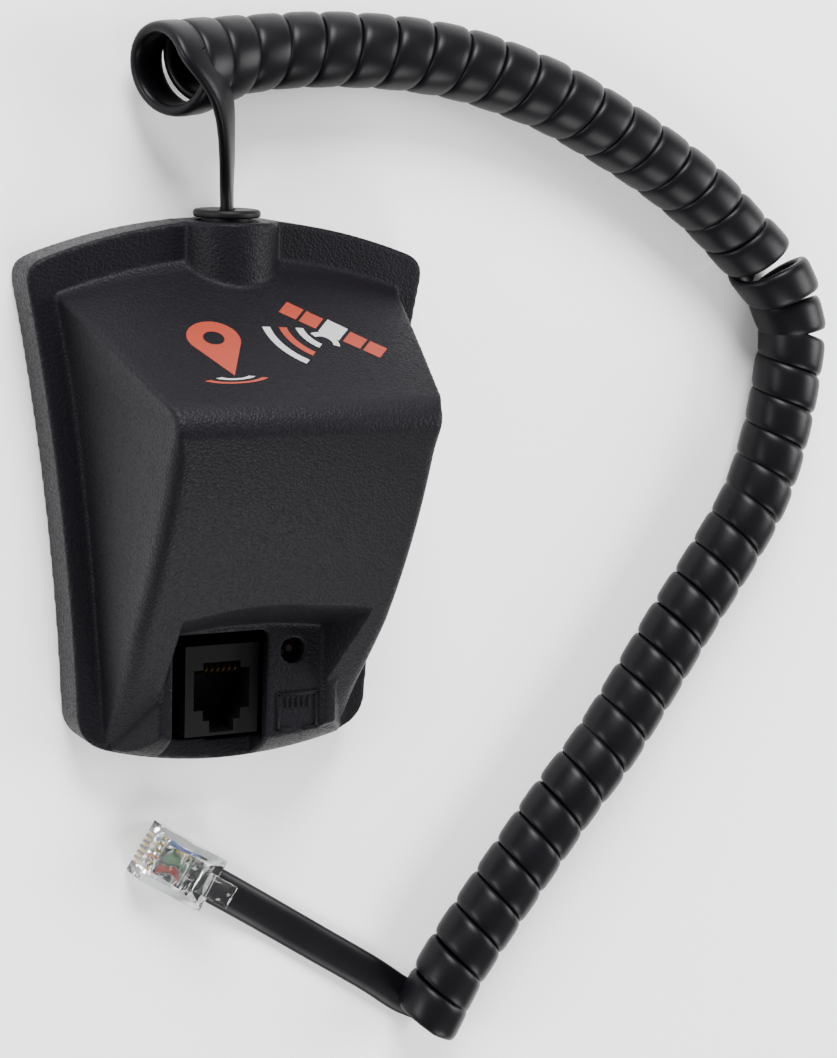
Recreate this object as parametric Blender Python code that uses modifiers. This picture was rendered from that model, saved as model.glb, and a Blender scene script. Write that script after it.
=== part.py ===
"""GPS receiver module for a telescope mount: a wedge-shaped housing with a top-entry modular jack,
an indicator light and a curly flat lead that ends in a clear modular plug.

Units are metres and +Z is up. The module lies on its flat back on z = 0, with the lead's grommet at +Y.
The origin is the middle of the module's footprint.
"""
import math

import bmesh
import bpy
from mathutils import Matrix, Vector

# Driving dimensions
GAP = 0.0003              # clearance between touching pieces
WALL = 0.0022             # housing wall
TOP_HALF = 0.0350         # half width of the flange at its top corners
BOTTOM_HALF = 0.0256      # half width of the flange at its bottom corners
TOP_Y = 0.0370            # top corners
BOTTOM_Y = -0.0410        # bottom corners
TOP_RISE = 0.0070         # rise of the top edge's arc
BOTTOM_RISE = 0.0045      # drop of the bottom edge's arc
SIDE_BOW = 0.0016         # how far the sides curve inwards
TOP_CORNER = 0.0032       # size of the rounded top corners
BOTTOM_CORNER = 0.0048
FLANGE = 0.0086           # depth of the flange
COVER = 0.0022            # thickness of the rear cover

# The raised body on the flange: a front face that slopes down to the bottom, and a steep print face
RIDGE_Y = 0.0170
RIDGE_Z = 0.0432          # where the two faces would meet without the rounded ridge
RIDGE_RADIUS = 0.0048
VALLEY_Y = 0.0323         # foot of the print face at its corners
VALLEY_RISE = 0.0047
FACE_HALF = 0.0224        # half width of the front face
VALLEY_HALF = 0.0300
FOOT_Z = 0.0088           # height of the front face at the bottom edge
FACE_BULGE = 0.0046
FOOT_MARGIN = 0.0040      # flange left clear beside the body
SHOULDER = 0.0034         # size of the rounded edges of the front face
PRINT_SHOULDER = 0.0010   # the edges of the print face are much sharper
CROWN = 0.0007

# Connector platform at the bottom of the front face
PLATFORM_Z = 0.0173
PLATFORM_LEFT = -0.0150
PLATFORM_RIGHT = 0.0159
PLATFORM_DRAFT = 0.62     # outward slope of the platform's sides
CEILING_Y = -0.0220       # foot of the recess's top wall, above the platform
CEILING_RISE = 0.0011
RECESS_RIGHT = 0.0133     # foot of the recess's right wall
RECESS_FLARE = 0.46       # outward slope of both walls
WINDOW = (-0.0127, 0.0038)
WINDOW_TOP = -0.0222
WINDOW_SILL = 0.0098      # the window is a slot, open at the bottom end down to here

# Boss and grommet at the top
BOSS_RADIUS = 0.0083
BOSS_Z = 0.0063
BOSS_Y = (0.0290, 0.0438)
GROMMET_RADIUS = 0.0055
GROMMET_FACE = 0.0456

# Modular jack, seen from the front
JACK_X = -0.0029
JACK_Y = -0.0324
JACK_SIZE = (0.0129, 0.0152)
JACK_BACK = 0.0058
JACK_FACE = 0.0140
JACK_FLOOR = 0.0070
CONTACTS = 6
CONTACT_PITCH = 0.00102
LED = (0.0083, -0.0259)
LED_HOLE = 0.0021

# Board
BOARD_BACK = 0.0038
BOARD_FRONT = 0.0054
BOARD_HALF = 0.0180
BOARD_Y = (-0.0400, 0.0262)

# Lead and plug
RIBBON = (0.0064, 0.0021)  # flat lead, width and thickness
COIL_DIAMETER = 0.0124
LEAD_TILT = math.radians(-26)  # turn of the flat lead about Y where it leaves the grommet
LEAD_RADIUS = 0.00215      # round stand-in with the flat lead's section area
PLUG_SIZE = (0.0131, 0.00965, 0.0066)
PLUG_FRONT = (-0.0117, -0.0616)
PLUG_TURN = math.radians(-32)
PLUG_BASE = 0.0004
COIL_ROUTE = (
    (-0.0114, 0.0678), (-0.0055, 0.0692), (0.0021, 0.0705), (0.0097, 0.0711), (0.0197, 0.0715),
    (0.0309, 0.0711), (0.0420, 0.0696), (0.0527, 0.0667), (0.0634, 0.0627), (0.0797, 0.0542),
    (0.0910, 0.0468), (0.0989, 0.0400), (0.1035, 0.0359), (0.1070, 0.0321), (0.1106, 0.0249),
    (0.1109, 0.0200), (0.1089, 0.0064), (0.1049, -0.0064), (0.0980, -0.0177), (0.0906, -0.0282),
    (0.0825, -0.0403), (0.0750, -0.0510), (0.0675, -0.0597), (0.0603, -0.0688), (0.0529, -0.0784),
    (0.0454, -0.0886), (0.0412, -0.0962),
)
COIL_END_LIFT = (0.0030, 0.0012)  # the module's end of the coil stands a little off the surface
LEAD_IN_ROUTE = ((0.0, 0.0459, 0.0063), (-0.0004, 0.0495, 0.0070), (-0.0012, 0.0536, 0.0085),
                 (-0.0024, 0.0580, 0.0100), (-0.0034, 0.0616, 0.0110))
LEAD_OUT_ROUTE = ((-0.0002, -0.0688, 0.0034), (0.0056, -0.0724, 0.0030), (0.0135, -0.0774, 0.0024),
                  (0.0215, -0.0824, 0.0023), (0.0295, -0.0872, 0.0023), (0.0349, -0.0905, 0.0023))


def clear_scene():
    for obj in list(bpy.data.objects):
        bpy.data.objects.remove(obj, do_unlink=True)


clear_scene()
PARTS = bpy.data.collections.new("gps_receiver_module")
CUTTERS = bpy.data.collections.new("cutters")
bpy.context.scene.collection.children.link(PARTS)
bpy.context.scene.collection.children.link(CUTTERS)
CUTTERS.hide_render = True


def material(name, color, roughness, metallic=0.0, transmission=0.0):
    made = bpy.data.materials.new(name)
    made.use_nodes = True
    shader = made.node_tree.nodes["Principled BSDF"]
    shader.inputs["Base Color"].default_value = (*color, 1.0)
    shader.inputs["Roughness"].default_value = roughness
    shader.inputs["Metallic"].default_value = metallic
    shader.inputs["Transmission Weight"].default_value = transmission
    made.diffuse_color = (*color, 1.0)
    return made


ABS_BLACK = material("black_abs", (0.020, 0.019, 0.023), 0.55)
RUBBER = material("black_rubber", (0.012, 0.012, 0.013), 0.60)
LEAD_PVC = material("lead_pvc", (0.010, 0.010, 0.012), 0.38)
JACK_NYLON = material("jack_nylon", (0.022, 0.022, 0.025), 0.50)
CLEAR = material("clear_polycarbonate", (0.95, 0.95, 0.95), 0.05, transmission=0.9)
GOLD = material("gold_plate", (0.90, 0.68, 0.30), 0.25, 1.0)
STEEL = material("zinc_steel", (0.62, 0.62, 0.64), 0.35, 1.0)
TINPLATE = material("tinplate", (0.70, 0.70, 0.70), 0.30, 1.0)
BOARD_BLACK = material("board_laminate", (0.012, 0.013, 0.014), 0.45)
CERAMIC = material("antenna_ceramic", (0.62, 0.52, 0.36), 0.60)
EPOXY = material("chip_epoxy", (0.020, 0.020, 0.021), 0.55)
HEADER_WHITE = material("header_nylon", (0.80, 0.78, 0.70), 0.50)
LED_RED = material("led_red_lens", (0.45, 0.02, 0.02), 0.20)
COPPER = material("conductor_wires", (0.55, 0.15, 0.08), 0.45)
LABEL = material("label_film", (0.55, 0.56, 0.58), 0.40)


def link(obj, name, collection, surface=None):
    obj.name = name
    obj.data.name = name
    for other in list(obj.users_collection):
        other.objects.unlink(obj)
    collection.objects.link(obj)
    if surface:
        obj.data.materials.clear()
        obj.data.materials.append(surface)
    if collection is CUTTERS:
        obj.hide_render = True
        obj.display_type = "WIRE"
    return obj


def from_bmesh(mesh_data, name, collection=CUTTERS, surface=None):
    bmesh.ops.recalc_face_normals(mesh_data, faces=mesh_data.faces)
    mesh = bpy.data.meshes.new(name)
    mesh_data.to_mesh(mesh)
    mesh_data.free()
    return link(bpy.data.objects.new(name, mesh), name, collection, surface)


def box(name, low, high, collection=CUTTERS, surface=None, bevel=0.0):
    """A box between two corners, with its long edges rounded when bevel is given."""
    made = bmesh.new()
    bmesh.ops.create_cube(made, size=1.0)
    size = Vector(high) - Vector(low)
    bmesh.ops.scale(made, vec=size, verts=made.verts)
    bmesh.ops.translate(made, vec=(Vector(high) + Vector(low)) / 2, verts=made.verts)
    obj = from_bmesh(made, name, collection, surface)
    if bevel:
        rounded = obj.modifiers.new("rounded", "BEVEL")
        rounded.width = bevel
        rounded.segments = 2
    return obj


def rod(name, start, end, radius, collection=CUTTERS, surface=None, sides=24, tip=None):
    """A round rod between two points. A tip radius makes it a cone."""
    made = bmesh.new()
    along = Vector(end) - Vector(start)
    bmesh.ops.create_cone(made, cap_ends=True, segments=sides, radius1=radius,
                          radius2=radius if tip is None else tip, depth=along.length)
    turn = Vector((0, 0, 1)).rotation_difference(along).to_matrix()
    bmesh.ops.rotate(made, cent=(0, 0, 0), matrix=turn, verts=made.verts)
    bmesh.ops.translate(made, vec=(Vector(start) + Vector(end)) / 2, verts=made.verts)
    return from_bmesh(made, name, collection, surface)


def as_mesh(curve_object):
    """Replaces a curve object by its welded mesh, so that Booleans take it."""
    graph = bpy.context.evaluated_depsgraph_get()
    mesh = bpy.data.meshes.new_from_object(curve_object.evaluated_get(graph))
    welded = bmesh.new()
    welded.from_mesh(mesh)
    bmesh.ops.remove_doubles(welded, verts=welded.verts, dist=1e-6)
    bmesh.ops.recalc_face_normals(welded, faces=welded.faces)
    welded.to_mesh(mesh)
    welded.free()
    obj = bpy.data.objects.new(curve_object.name, mesh)
    obj.matrix_world = curve_object.matrix_world.copy()
    bpy.data.objects.remove(curve_object, do_unlink=True)
    return obj


def plate(name, outline, low, high, collection=CUTTERS, surface=None):
    """A flat plate with this outline in XY, between two heights."""
    curve = bpy.data.curves.new(name, "CURVE")
    curve.dimensions = "2D"
    curve.fill_mode = "BOTH"
    curve.extrude = (high - low) / 2
    spline = curve.splines.new("POLY")
    spline.points.add(len(outline) - 1)
    for point, (x, y) in zip(spline.points, outline):
        point.co = (x, y, 0, 1)
    spline.use_cyclic_u = True
    holder = bpy.data.objects.new(name, curve)
    holder.location.z = (high + low) / 2
    bpy.context.scene.collection.objects.link(holder)
    bpy.context.view_layer.update()
    return link(as_mesh(holder), name, collection, surface)


def tube(name, points, radius, surface, resolution=2, radii=None):
    """A cord or wire: a tube along the points, with closed ends."""
    curve = bpy.data.curves.new(name, "CURVE")
    curve.dimensions = "3D"
    curve.bevel_depth = radius
    curve.bevel_resolution = resolution
    curve.use_fill_caps = True
    spline = curve.splines.new("POLY")
    spline.points.add(len(points) - 1)
    for index, (point, place) in enumerate(zip(spline.points, points)):
        point.co = (*place, 1)
        point.radius = radii[index] if radii else 1.0
    return link(bpy.data.objects.new(name, curve), name, PARTS, surface)


def smooth_route(points, spacing):
    """Points at an even spacing on a Catmull-Rom curve through the route's points."""
    places = [Vector(point) for point in points]
    ends = [2 * places[0] - places[1], *places, 2 * places[-1] - places[-2]]
    fine = []
    for a, b, c, d in zip(ends, ends[1:], ends[2:], ends[3:]):
        for step in range(20):
            t = step / 20
            fine.append(0.5 * (2 * b + (c - a) * t + (2 * a - 5 * b + 4 * c - d) * t ** 2
                               + (3 * b - a - 3 * c + d) * t ** 3))
    fine.append(places[-1])
    length = sum((b - a).length for a, b in zip(fine, fine[1:]))
    count = max(2, round(length / spacing))
    even, walked, goal = [fine[0]], 0.0, length / count
    for a, b in zip(fine, fine[1:]):
        walked += (b - a).length
        if walked >= goal * len(even) - 1e-9 and len(even) < count:
            even.append(b)
    return [*even, fine[-1]]


def boolean(obj, other, operation):
    """Applies one Boolean at once, so that each shape is a plain mesh afterwards."""
    step = obj.modifiers.new(operation.lower(), "BOOLEAN")
    step.operation = operation
    step.object = other
    bpy.context.view_layer.update()
    graph = bpy.context.evaluated_depsgraph_get()
    mesh = bpy.data.meshes.new_from_object(obj.evaluated_get(graph))
    obj.modifiers.clear()
    surfaces = list(obj.data.materials)
    obj.data = mesh
    mesh.materials.clear()
    for surface in surfaces:
        mesh.materials.append(surface)
    bpy.data.objects.remove(other, do_unlink=True)
    return obj


def cut(obj, *cutters):
    for cutter in cutters:
        boolean(obj, cutter, "DIFFERENCE")
    return obj


def join(obj, *others):
    for other in others:
        boolean(obj, other, "UNION")
    return obj


def smooth(obj, degrees=35):
    obj.data.shade_smooth()
    obj.data.set_sharp_from_angle(angle=math.radians(degrees))
    return obj


# Outline of the flange ------------------------------------------------------------------------

def half_width(y):
    """Half width of the flange, which narrows towards the bottom with sides that curve inwards."""
    t = (TOP_Y - y) / (TOP_Y - BOTTOM_Y)
    return TOP_HALF * (1 - t) + BOTTOM_HALF * t - 4 * SIDE_BOW * t * (1 - t)


def arc_edge(half, y, rise):
    return lambda t: Vector((half * (2 * t - 1), y + rise * 4 * t * (1 - t)))


def side_edge(sign):
    def place(t):
        y = TOP_Y + (BOTTOM_Y - TOP_Y) * t
        return Vector((sign * half_width(y), y))
    return place


def flange_outline():
    """Closed outline, clockwise from the top left corner, with rounded corners."""
    top = arc_edge(TOP_HALF, TOP_Y, TOP_RISE)
    bottom = arc_edge(-BOTTOM_HALF, BOTTOM_Y, -BOTTOM_RISE)
    right, left = side_edge(1), side_edge(-1)
    edges = ((top, TOP_CORNER, TOP_CORNER, 16), (right, TOP_CORNER, BOTTOM_CORNER, 8),
             (bottom, BOTTOM_CORNER, BOTTOM_CORNER, 12),
             (lambda t: left(1 - t), BOTTOM_CORNER, TOP_CORNER, 8))
    runs = []
    for edge, start, end, steps in edges:
        length = (edge(1) - edge(0)).length
        low, high = start / length, 1 - end / length
        runs.append([edge(low + (high - low) * step / steps) for step in range(steps + 1)])
    outline = []
    for run, following, (edge, *_rest) in zip(runs, runs[1:] + runs[:1], edges):
        corner = edge(1)
        outline += run
        for step in (1, 2, 3):
            t = step / 4
            outline.append(run[-1] * (1 - t) ** 2 + corner * 2 * t * (1 - t) + following[0] * t ** 2)
    return [(place.x, place.y) for place in outline]


def inset(outline, distance):
    """Moves a clockwise outline inwards by a distance."""
    moved = []
    for index, point in enumerate(outline):
        before, after = Vector(outline[index - 1]), Vector(outline[(index + 1) % len(outline)])
        along = (after - before).normalized()
        moved.append((point[0] + along.y * distance, point[1] - along.x * distance))
    return moved


# Raised body ----------------------------------------------------------------------------------

def body_height(y, inside=0.0):
    """Height of the body along its middle, with a round ridge. inside is the wall left outside the cavity."""
    length = RIDGE_Y - BOTTOM_Y
    t = (RIDGE_Y - y) / length
    front = RIDGE_Z + (FOOT_Z - RIDGE_Z) * t + 4 * FACE_BULGE * t * (1 - t)
    rise = (RIDGE_Z - FOOT_Z - 4 * FACE_BULGE) / length
    fall = (RIDGE_Z - FLANGE) / (VALLEY_Y - RIDGE_Y)
    front_lean, print_lean = math.hypot(rise, 1), math.hypot(fall, 1)
    print_face = FLANGE + fall * (VALLEY_Y - y)
    centre_y = RIDGE_Y + RIDGE_RADIUS * (front_lean - print_lean) / (rise + fall)
    centre_z = RIDGE_Z + rise * (centre_y - RIDGE_Y) - RIDGE_RADIUS * front_lean
    radius = RIDGE_RADIUS - inside
    height = min(front - inside * 1.1, print_face - inside * print_lean)
    if centre_y - radius * rise / front_lean < y < centre_y + radius * fall / print_lean:
        return min(height, centre_z + math.sqrt(radius ** 2 - (y - centre_y) ** 2))
    return height


def bowed_offset(y):
    """How far the middle of a row is moved along Y: down at the bottom edge, up at the valley."""
    if y < 0:
        return -BOTTOM_RISE * (y / BOTTOM_Y) ** 3
    return VALLEY_RISE * max((y - RIDGE_Y) / (VALLEY_Y - RIDGE_Y), 0.0) ** 1.5


def body_row(y, inside, low):
    """Upper line of one cross-section, from side to side: flank, rounded shoulder and crowned face."""
    top = max(body_height(y, inside), low + 0.0012)
    foot = half_width(y) - FOOT_MARGIN - inside
    spread = min(max((y - RIDGE_Y) / (VALLEY_Y - RIDGE_Y), 0.0), 1.0)
    edge = min(FACE_HALF + (VALLEY_HALF - FACE_HALF) * spread - inside, foot - 0.0004)
    base = min(FLANGE, top - 0.0008)
    sharpen = min(max((y - RIDGE_Y + 0.0080) / 0.0080, 0.0), 1.0)
    size = SHOULDER + (PRINT_SHOULDER - SHOULDER) * sharpen ** 2 * (3 - 2 * sharpen)
    shoulder = min(size, (top - base) * 0.45)
    half = []
    for step in range(7):
        q = step / 6
        half.append((foot + (edge - foot) * q, base + (top - shoulder - base) * q ** 1.7))
    for step in (1, 2, 3):
        t = step / 3
        x = edge * (1 - t ** 2) + (edge - size) * t ** 2
        z = (top - shoulder) * (1 - t) ** 2 + top * (1 - (1 - t) ** 2)
        half.append((x, z))
    half += [((edge - size) * part, top + CROWN * (1 - part ** 2)) for part in (0.66, 0.33)]
    whole = half + [(0.0, top + CROWN)] + [(-x, z) for x, z in reversed(half)]
    bow = bowed_offset(y)
    return [Vector((x, y + bow * (1 - (x / foot) ** 2), z)) for x, z in whole]


def body_solid(name, inside, low):
    """Loft of the body's cross-sections from the bottom edge to the valley, down to a flat base."""
    first = BOTTOM_Y + 0.0003 + inside
    last = VALLEY_Y + 0.0004 - 1.2 * inside
    bends = RIDGE_Y - 0.0060, RIDGE_Y + 0.0022
    stations = [first + (bends[0] - first) * step / 12 for step in range(12)]
    stations += [bends[0] + (bends[1] - bends[0]) * step / 6 for step in range(6)]
    stations += [bends[1] + (last - bends[1]) * step / 5 for step in range(6)]
    made = bmesh.new()
    upper, lower = [], []
    for y in stations:
        places = body_row(y, inside, low)
        upper.append([made.verts.new(place) for place in places])
        lower.append([made.verts.new((place.x, place.y, low)) for place in places])
    for rows in (upper, lower):
        for row, following in zip(rows, rows[1:]):
            for index in range(len(row) - 1):
                made.faces.new((row[index], row[index + 1], following[index + 1], following[index]))
    for end in (0, -1):
        for index in range(len(upper[end]) - 1):
            made.faces.new((upper[end][index], upper[end][index + 1],
                            lower[end][index + 1], lower[end][index]))
    for side in (0, -1):
        for index in range(len(upper) - 1):
            made.faces.new((upper[index][side], upper[index + 1][side],
                            lower[index + 1][side], lower[index][side]))
    return from_bmesh(made, name)


def ceiling(x, z):
    """The recess's top wall: an arc that leans back as it rises."""
    across = min(max(x / RECESS_RIGHT, -1.0), 1.0)
    return CEILING_Y + CEILING_RISE * (1 - across ** 2) + RECESS_FLARE * (z - PLATFORM_Z)


def recess_solid(name, grow):
    """The recess above the platform, whose top and right walls slope outwards."""
    made = bmesh.new()
    rings = []
    for z in (PLATFORM_Z - grow, 0.050):
        left = PLATFORM_LEFT - 0.0001 - grow
        right = RECESS_RIGHT + RECESS_FLARE * (z - PLATFORM_Z) + grow * 1.1
        outline = [(left, -0.060), (right, -0.060)]
        steps = [right + (left - right) * step / 10 for step in range(11)]
        outline += [(x, ceiling(x, z) + grow * 1.1) for x in steps]
        rings.append([made.verts.new((x, y, z)) for x, y in outline])
    for index in range(len(rings[0])):
        made.faces.new((rings[0][index], rings[0][index - 1], rings[1][index - 1], rings[1][index]))
    made.faces.new(rings[0])
    made.faces.new(rings[1])
    return from_bmesh(made, name)


def platform_solid(name):
    """The block that stands proud of the front face, with sloping sides and a slanted bottom end."""
    made = bmesh.new()
    rings = []
    slant = ((0.0058, 0.0), (0.0092, 0.0), (0.0140, 0.0020), (PLATFORM_Z, 0.0046), (PLATFORM_Z + 0.001, 0.0050))
    for z, back in slant:
        lean = PLATFORM_DRAFT * max(PLATFORM_Z - z, 0.0)
        left, right = PLATFORM_LEFT - lean, PLATFORM_RIGHT + lean
        across = [left + (right - left) * step / 8 for step in range(9)]
        end = [(x, BOTTOM_Y - BOTTOM_RISE * (1 - (x / BOTTOM_HALF) ** 2) + 0.00045 + back) for x in across]
        outline = end + [(right, CEILING_Y - 0.004), (left, CEILING_Y - 0.004)]
        rings.append([made.verts.new((x, y, z)) for x, y in outline])
    for low, high in zip(rings, rings[1:]):
        for index in range(len(low)):
            made.faces.new((low[index], low[index - 1], high[index - 1], high[index]))
    made.faces.new(rings[0])
    made.faces.new(rings[-1])
    return from_bmesh(made, name)


def boss_outline(radius):
    """Half-round section of the grommet boss, in XZ, with straight sides down into the flange."""
    arc = [(radius * math.cos(math.pi * step / 12), BOSS_Z + radius * math.sin(math.pi * step / 12))
           for step in range(13)]
    return [(radius, 0.0012)] + arc + [(-radius, 0.0012)]


def boss_solid(name, radius, low, high):
    """The boss's section, pushed along Y."""
    made = bmesh.new()
    rings = [[made.verts.new((x, y, z)) for x, z in boss_outline(radius)] for y in (low, high)]
    for index in range(len(rings[0])):
        made.faces.new((rings[0][index], rings[0][index - 1], rings[1][index - 1], rings[1][index]))
    made.faces.new(rings[0])
    made.faces.new(rings[1])
    return from_bmesh(made, name)


SCREWS = ((-0.0272, 0.0315), (0.0272, 0.0315), (-0.0200, -0.0335), (0.0200, -0.0335))
BOARD_SCREWS = ((-0.0155, 0.0232), (0.0155, 0.0232), (-0.0155, -0.0165), (0.0155, -0.0165))


def front_housing():
    outline = flange_outline()
    shell = plate("front_housing", outline, 0.0, FLANGE, PARTS, ABS_BLACK)
    join(shell, body_solid("body", 0.0, 0.0070), platform_solid("platform"))
    cut(shell, recess_solid("recess", 0.0))
    join(shell, boss_solid("boss", BOSS_RADIUS, *BOSS_Y))
    cavity = plate("cavity", inset(outline, WALL), -0.001, FLANGE - WALL)
    hollow = body_solid("body_hollow", WALL, 0.0050)
    cut(hollow, recess_solid("recess_wall", WALL))
    join(cavity, hollow)
    join(cavity, box("platform_hollow", (PLATFORM_LEFT + 0.0021, -0.0411, 0.0043),
                     (PLATFORM_RIGHT - 0.0023, CEILING_Y, PLATFORM_Z - WALL - 0.0003)))
    cut(shell, cavity)
    cut(shell, rod("boss_hollow", (0, 0.0281, BOSS_Z), (0, 0.0413, BOSS_Z), 0.0057))
    cut(shell, rod("grommet_hole", (0, 0.0350, BOSS_Z), (0, 0.0500, BOSS_Z), 0.0045))
    cut(shell, box("jack_window", (WINDOW[0], -0.060, WINDOW_SILL), (WINDOW[1], WINDOW_TOP, 0.030)))
    cut(shell, rod("led_hole", (*LED, 0.010), (*LED, 0.030), LED_HOLE))
    for index, (x, y) in enumerate(SCREWS):
        join(shell, rod(f"post_{index}", (x, y, COVER + GAP), (x, y, FLANGE - 0.001), 0.0029, sides=16))
        cut(shell, rod(f"post_hole_{index}", (x, y, 0.0010), (x, y, 0.0074), 0.0015, sides=12))
    return smooth(shell)


def rear_cover():
    cover = plate("rear_cover", inset(flange_outline(), WALL + GAP), 0.0, COVER, PARTS, ABS_BLACK)
    cut(cover, rod("grommet_notch", (0, 0.0370, BOSS_Z), (0, 0.0480, BOSS_Z), 0.0056))
    for index, (x, y) in enumerate(SCREWS):
        cut(cover, rod(f"well_{index}", (x, y, -0.001), (x, y, 0.0013), 0.0028, sides=20),
            rod(f"shank_hole_{index}", (x, y, 0.0), (x, y, 0.004), 0.0015, sides=12))
    for index, (x, y) in enumerate(BOARD_SCREWS):
        join(cover, rod(f"stand_{index}", (x, y, 0.0010), (x, y, BOARD_BACK - GAP), 0.0026, sides=16))
        cut(cover, rod(f"stand_hole_{index}", (x, y, 0.0014), (x, y, 0.006), 0.0012, sides=12))
    cut(cover, box("label_recess", (-0.0150, -0.0170, -0.001), (0.0150, 0.0030, 0.0004)))
    return smooth(cover)


def screw(name, x, y, head_low, head_high, head_radius, tip, radius):
    """A pan-head screw along Z with a cross recess in the head."""
    body = rod(name, (x, y, head_low), (x, y, head_high), head_radius, PARTS, STEEL, 20)
    inner, outer = (head_high, head_low) if tip > head_high else (head_low, head_high)
    lap = 0.0002 if tip < head_low else -0.0002
    join(body, rod(name + "_shank", (x, y, inner + lap), (x, y, tip), radius, sides=12))
    reach = head_radius * 0.55
    depth = 0.0005 if outer > inner else -0.0005
    for index, (wide, tall) in enumerate(((reach, 0.00022), (0.00022, reach))):
        low, high = sorted((outer - depth, outer + depth))
        cut(body, box(f"{name}_slot_{index}", (x - wide, y - tall, low), (x + wide, y + tall, high)))
    return smooth(body)


def grommet():
    """Turned rubber bush: outer disc, neck through the wall, inner flange, and a slot for the lead."""
    profile = ((0.0, GROMMET_FACE), (0.0046, GROMMET_FACE), (GROMMET_RADIUS, 0.0451),
               (GROMMET_RADIUS, 0.0444), (0.0042, 0.0443), (0.0042, 0.0410), (0.0053, 0.0409),
               (0.0053, 0.0391), (0.0, 0.0391))
    made = bmesh.new()
    points = [made.verts.new((radius, 0.0, y)) for radius, y in profile]
    for before, after in zip(points, points[1:]):
        made.edges.new((before, after))
    mesh = bpy.data.meshes.new("cable_grommet")
    made.to_mesh(mesh)
    made.free()
    bush = link(bpy.data.objects.new("cable_grommet", mesh), "cable_grommet", PARTS, RUBBER)
    turn = bush.modifiers.new("turned", "SCREW")
    turn.steps = turn.render_steps = 32
    turn.use_merge_vertices = True
    turn.merge_threshold = 0.00001
    bush.rotation_euler.x = math.radians(-90)
    bush.location.z = BOSS_Z
    bpy.context.view_layer.update()
    slot = (RIBBON[1] / 2 + GAP, RIBBON[0] / 2 + GAP)
    slit = box("ribbon_slot", (-slot[0], 0.035, -slot[1]), (slot[0], 0.050, slot[1]))
    slit.data.transform(Matrix.Translation((0, 0, BOSS_Z)) @ Matrix.Rotation(LEAD_TILT, 4, "Y"))
    return smooth(cut(bush, slit))


def jack():
    """Top-entry jack with the stepped opening of a six-way plug: contacts at +Y, latch at -Y."""
    half_x, half_y = JACK_SIZE[0] / 2, JACK_SIZE[1] / 2
    body = box("jack_housing", (JACK_X - half_x, JACK_Y - half_y, JACK_BACK),
               (JACK_X + half_x, JACK_Y + half_y, JACK_FACE), PARTS, JACK_NYLON)
    top = 0.020
    steps = ((0.00493, -0.0357, -0.0289, JACK_FLOOR), (0.00330, -0.0293, -0.0277, JACK_FLOOR - 0.0001),
             (0.00330, -0.0375, -0.0353, JACK_FLOOR + 0.0001),
             (0.00214, -0.0395, -0.0371, JACK_FLOOR + 0.0002))
    for index, (half, low, high, floor) in enumerate(steps):
        cut(body, box(f"jack_step_{index}", (JACK_X - half, low, floor), (JACK_X + half, high, top)))
    return body


def jack_contacts():
    """Six spring wires, fixed near the mouth and sloping in to where the plug's blades press them."""
    for index in range(CONTACTS):
        x = JACK_X + (index - (CONTACTS - 1) / 2) * CONTACT_PITCH
        route = ((x, -0.02845, 0.0132), (x, -0.02880, 0.0136), (x, -0.02925, 0.0131),
                 (x, -0.03010, 0.0105), (x, -0.03090, 0.0084), (x, -0.03090, 0.0077))
        tube(f"jack_contact_{index + 1}", route, 0.00023, GOLD)


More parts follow.
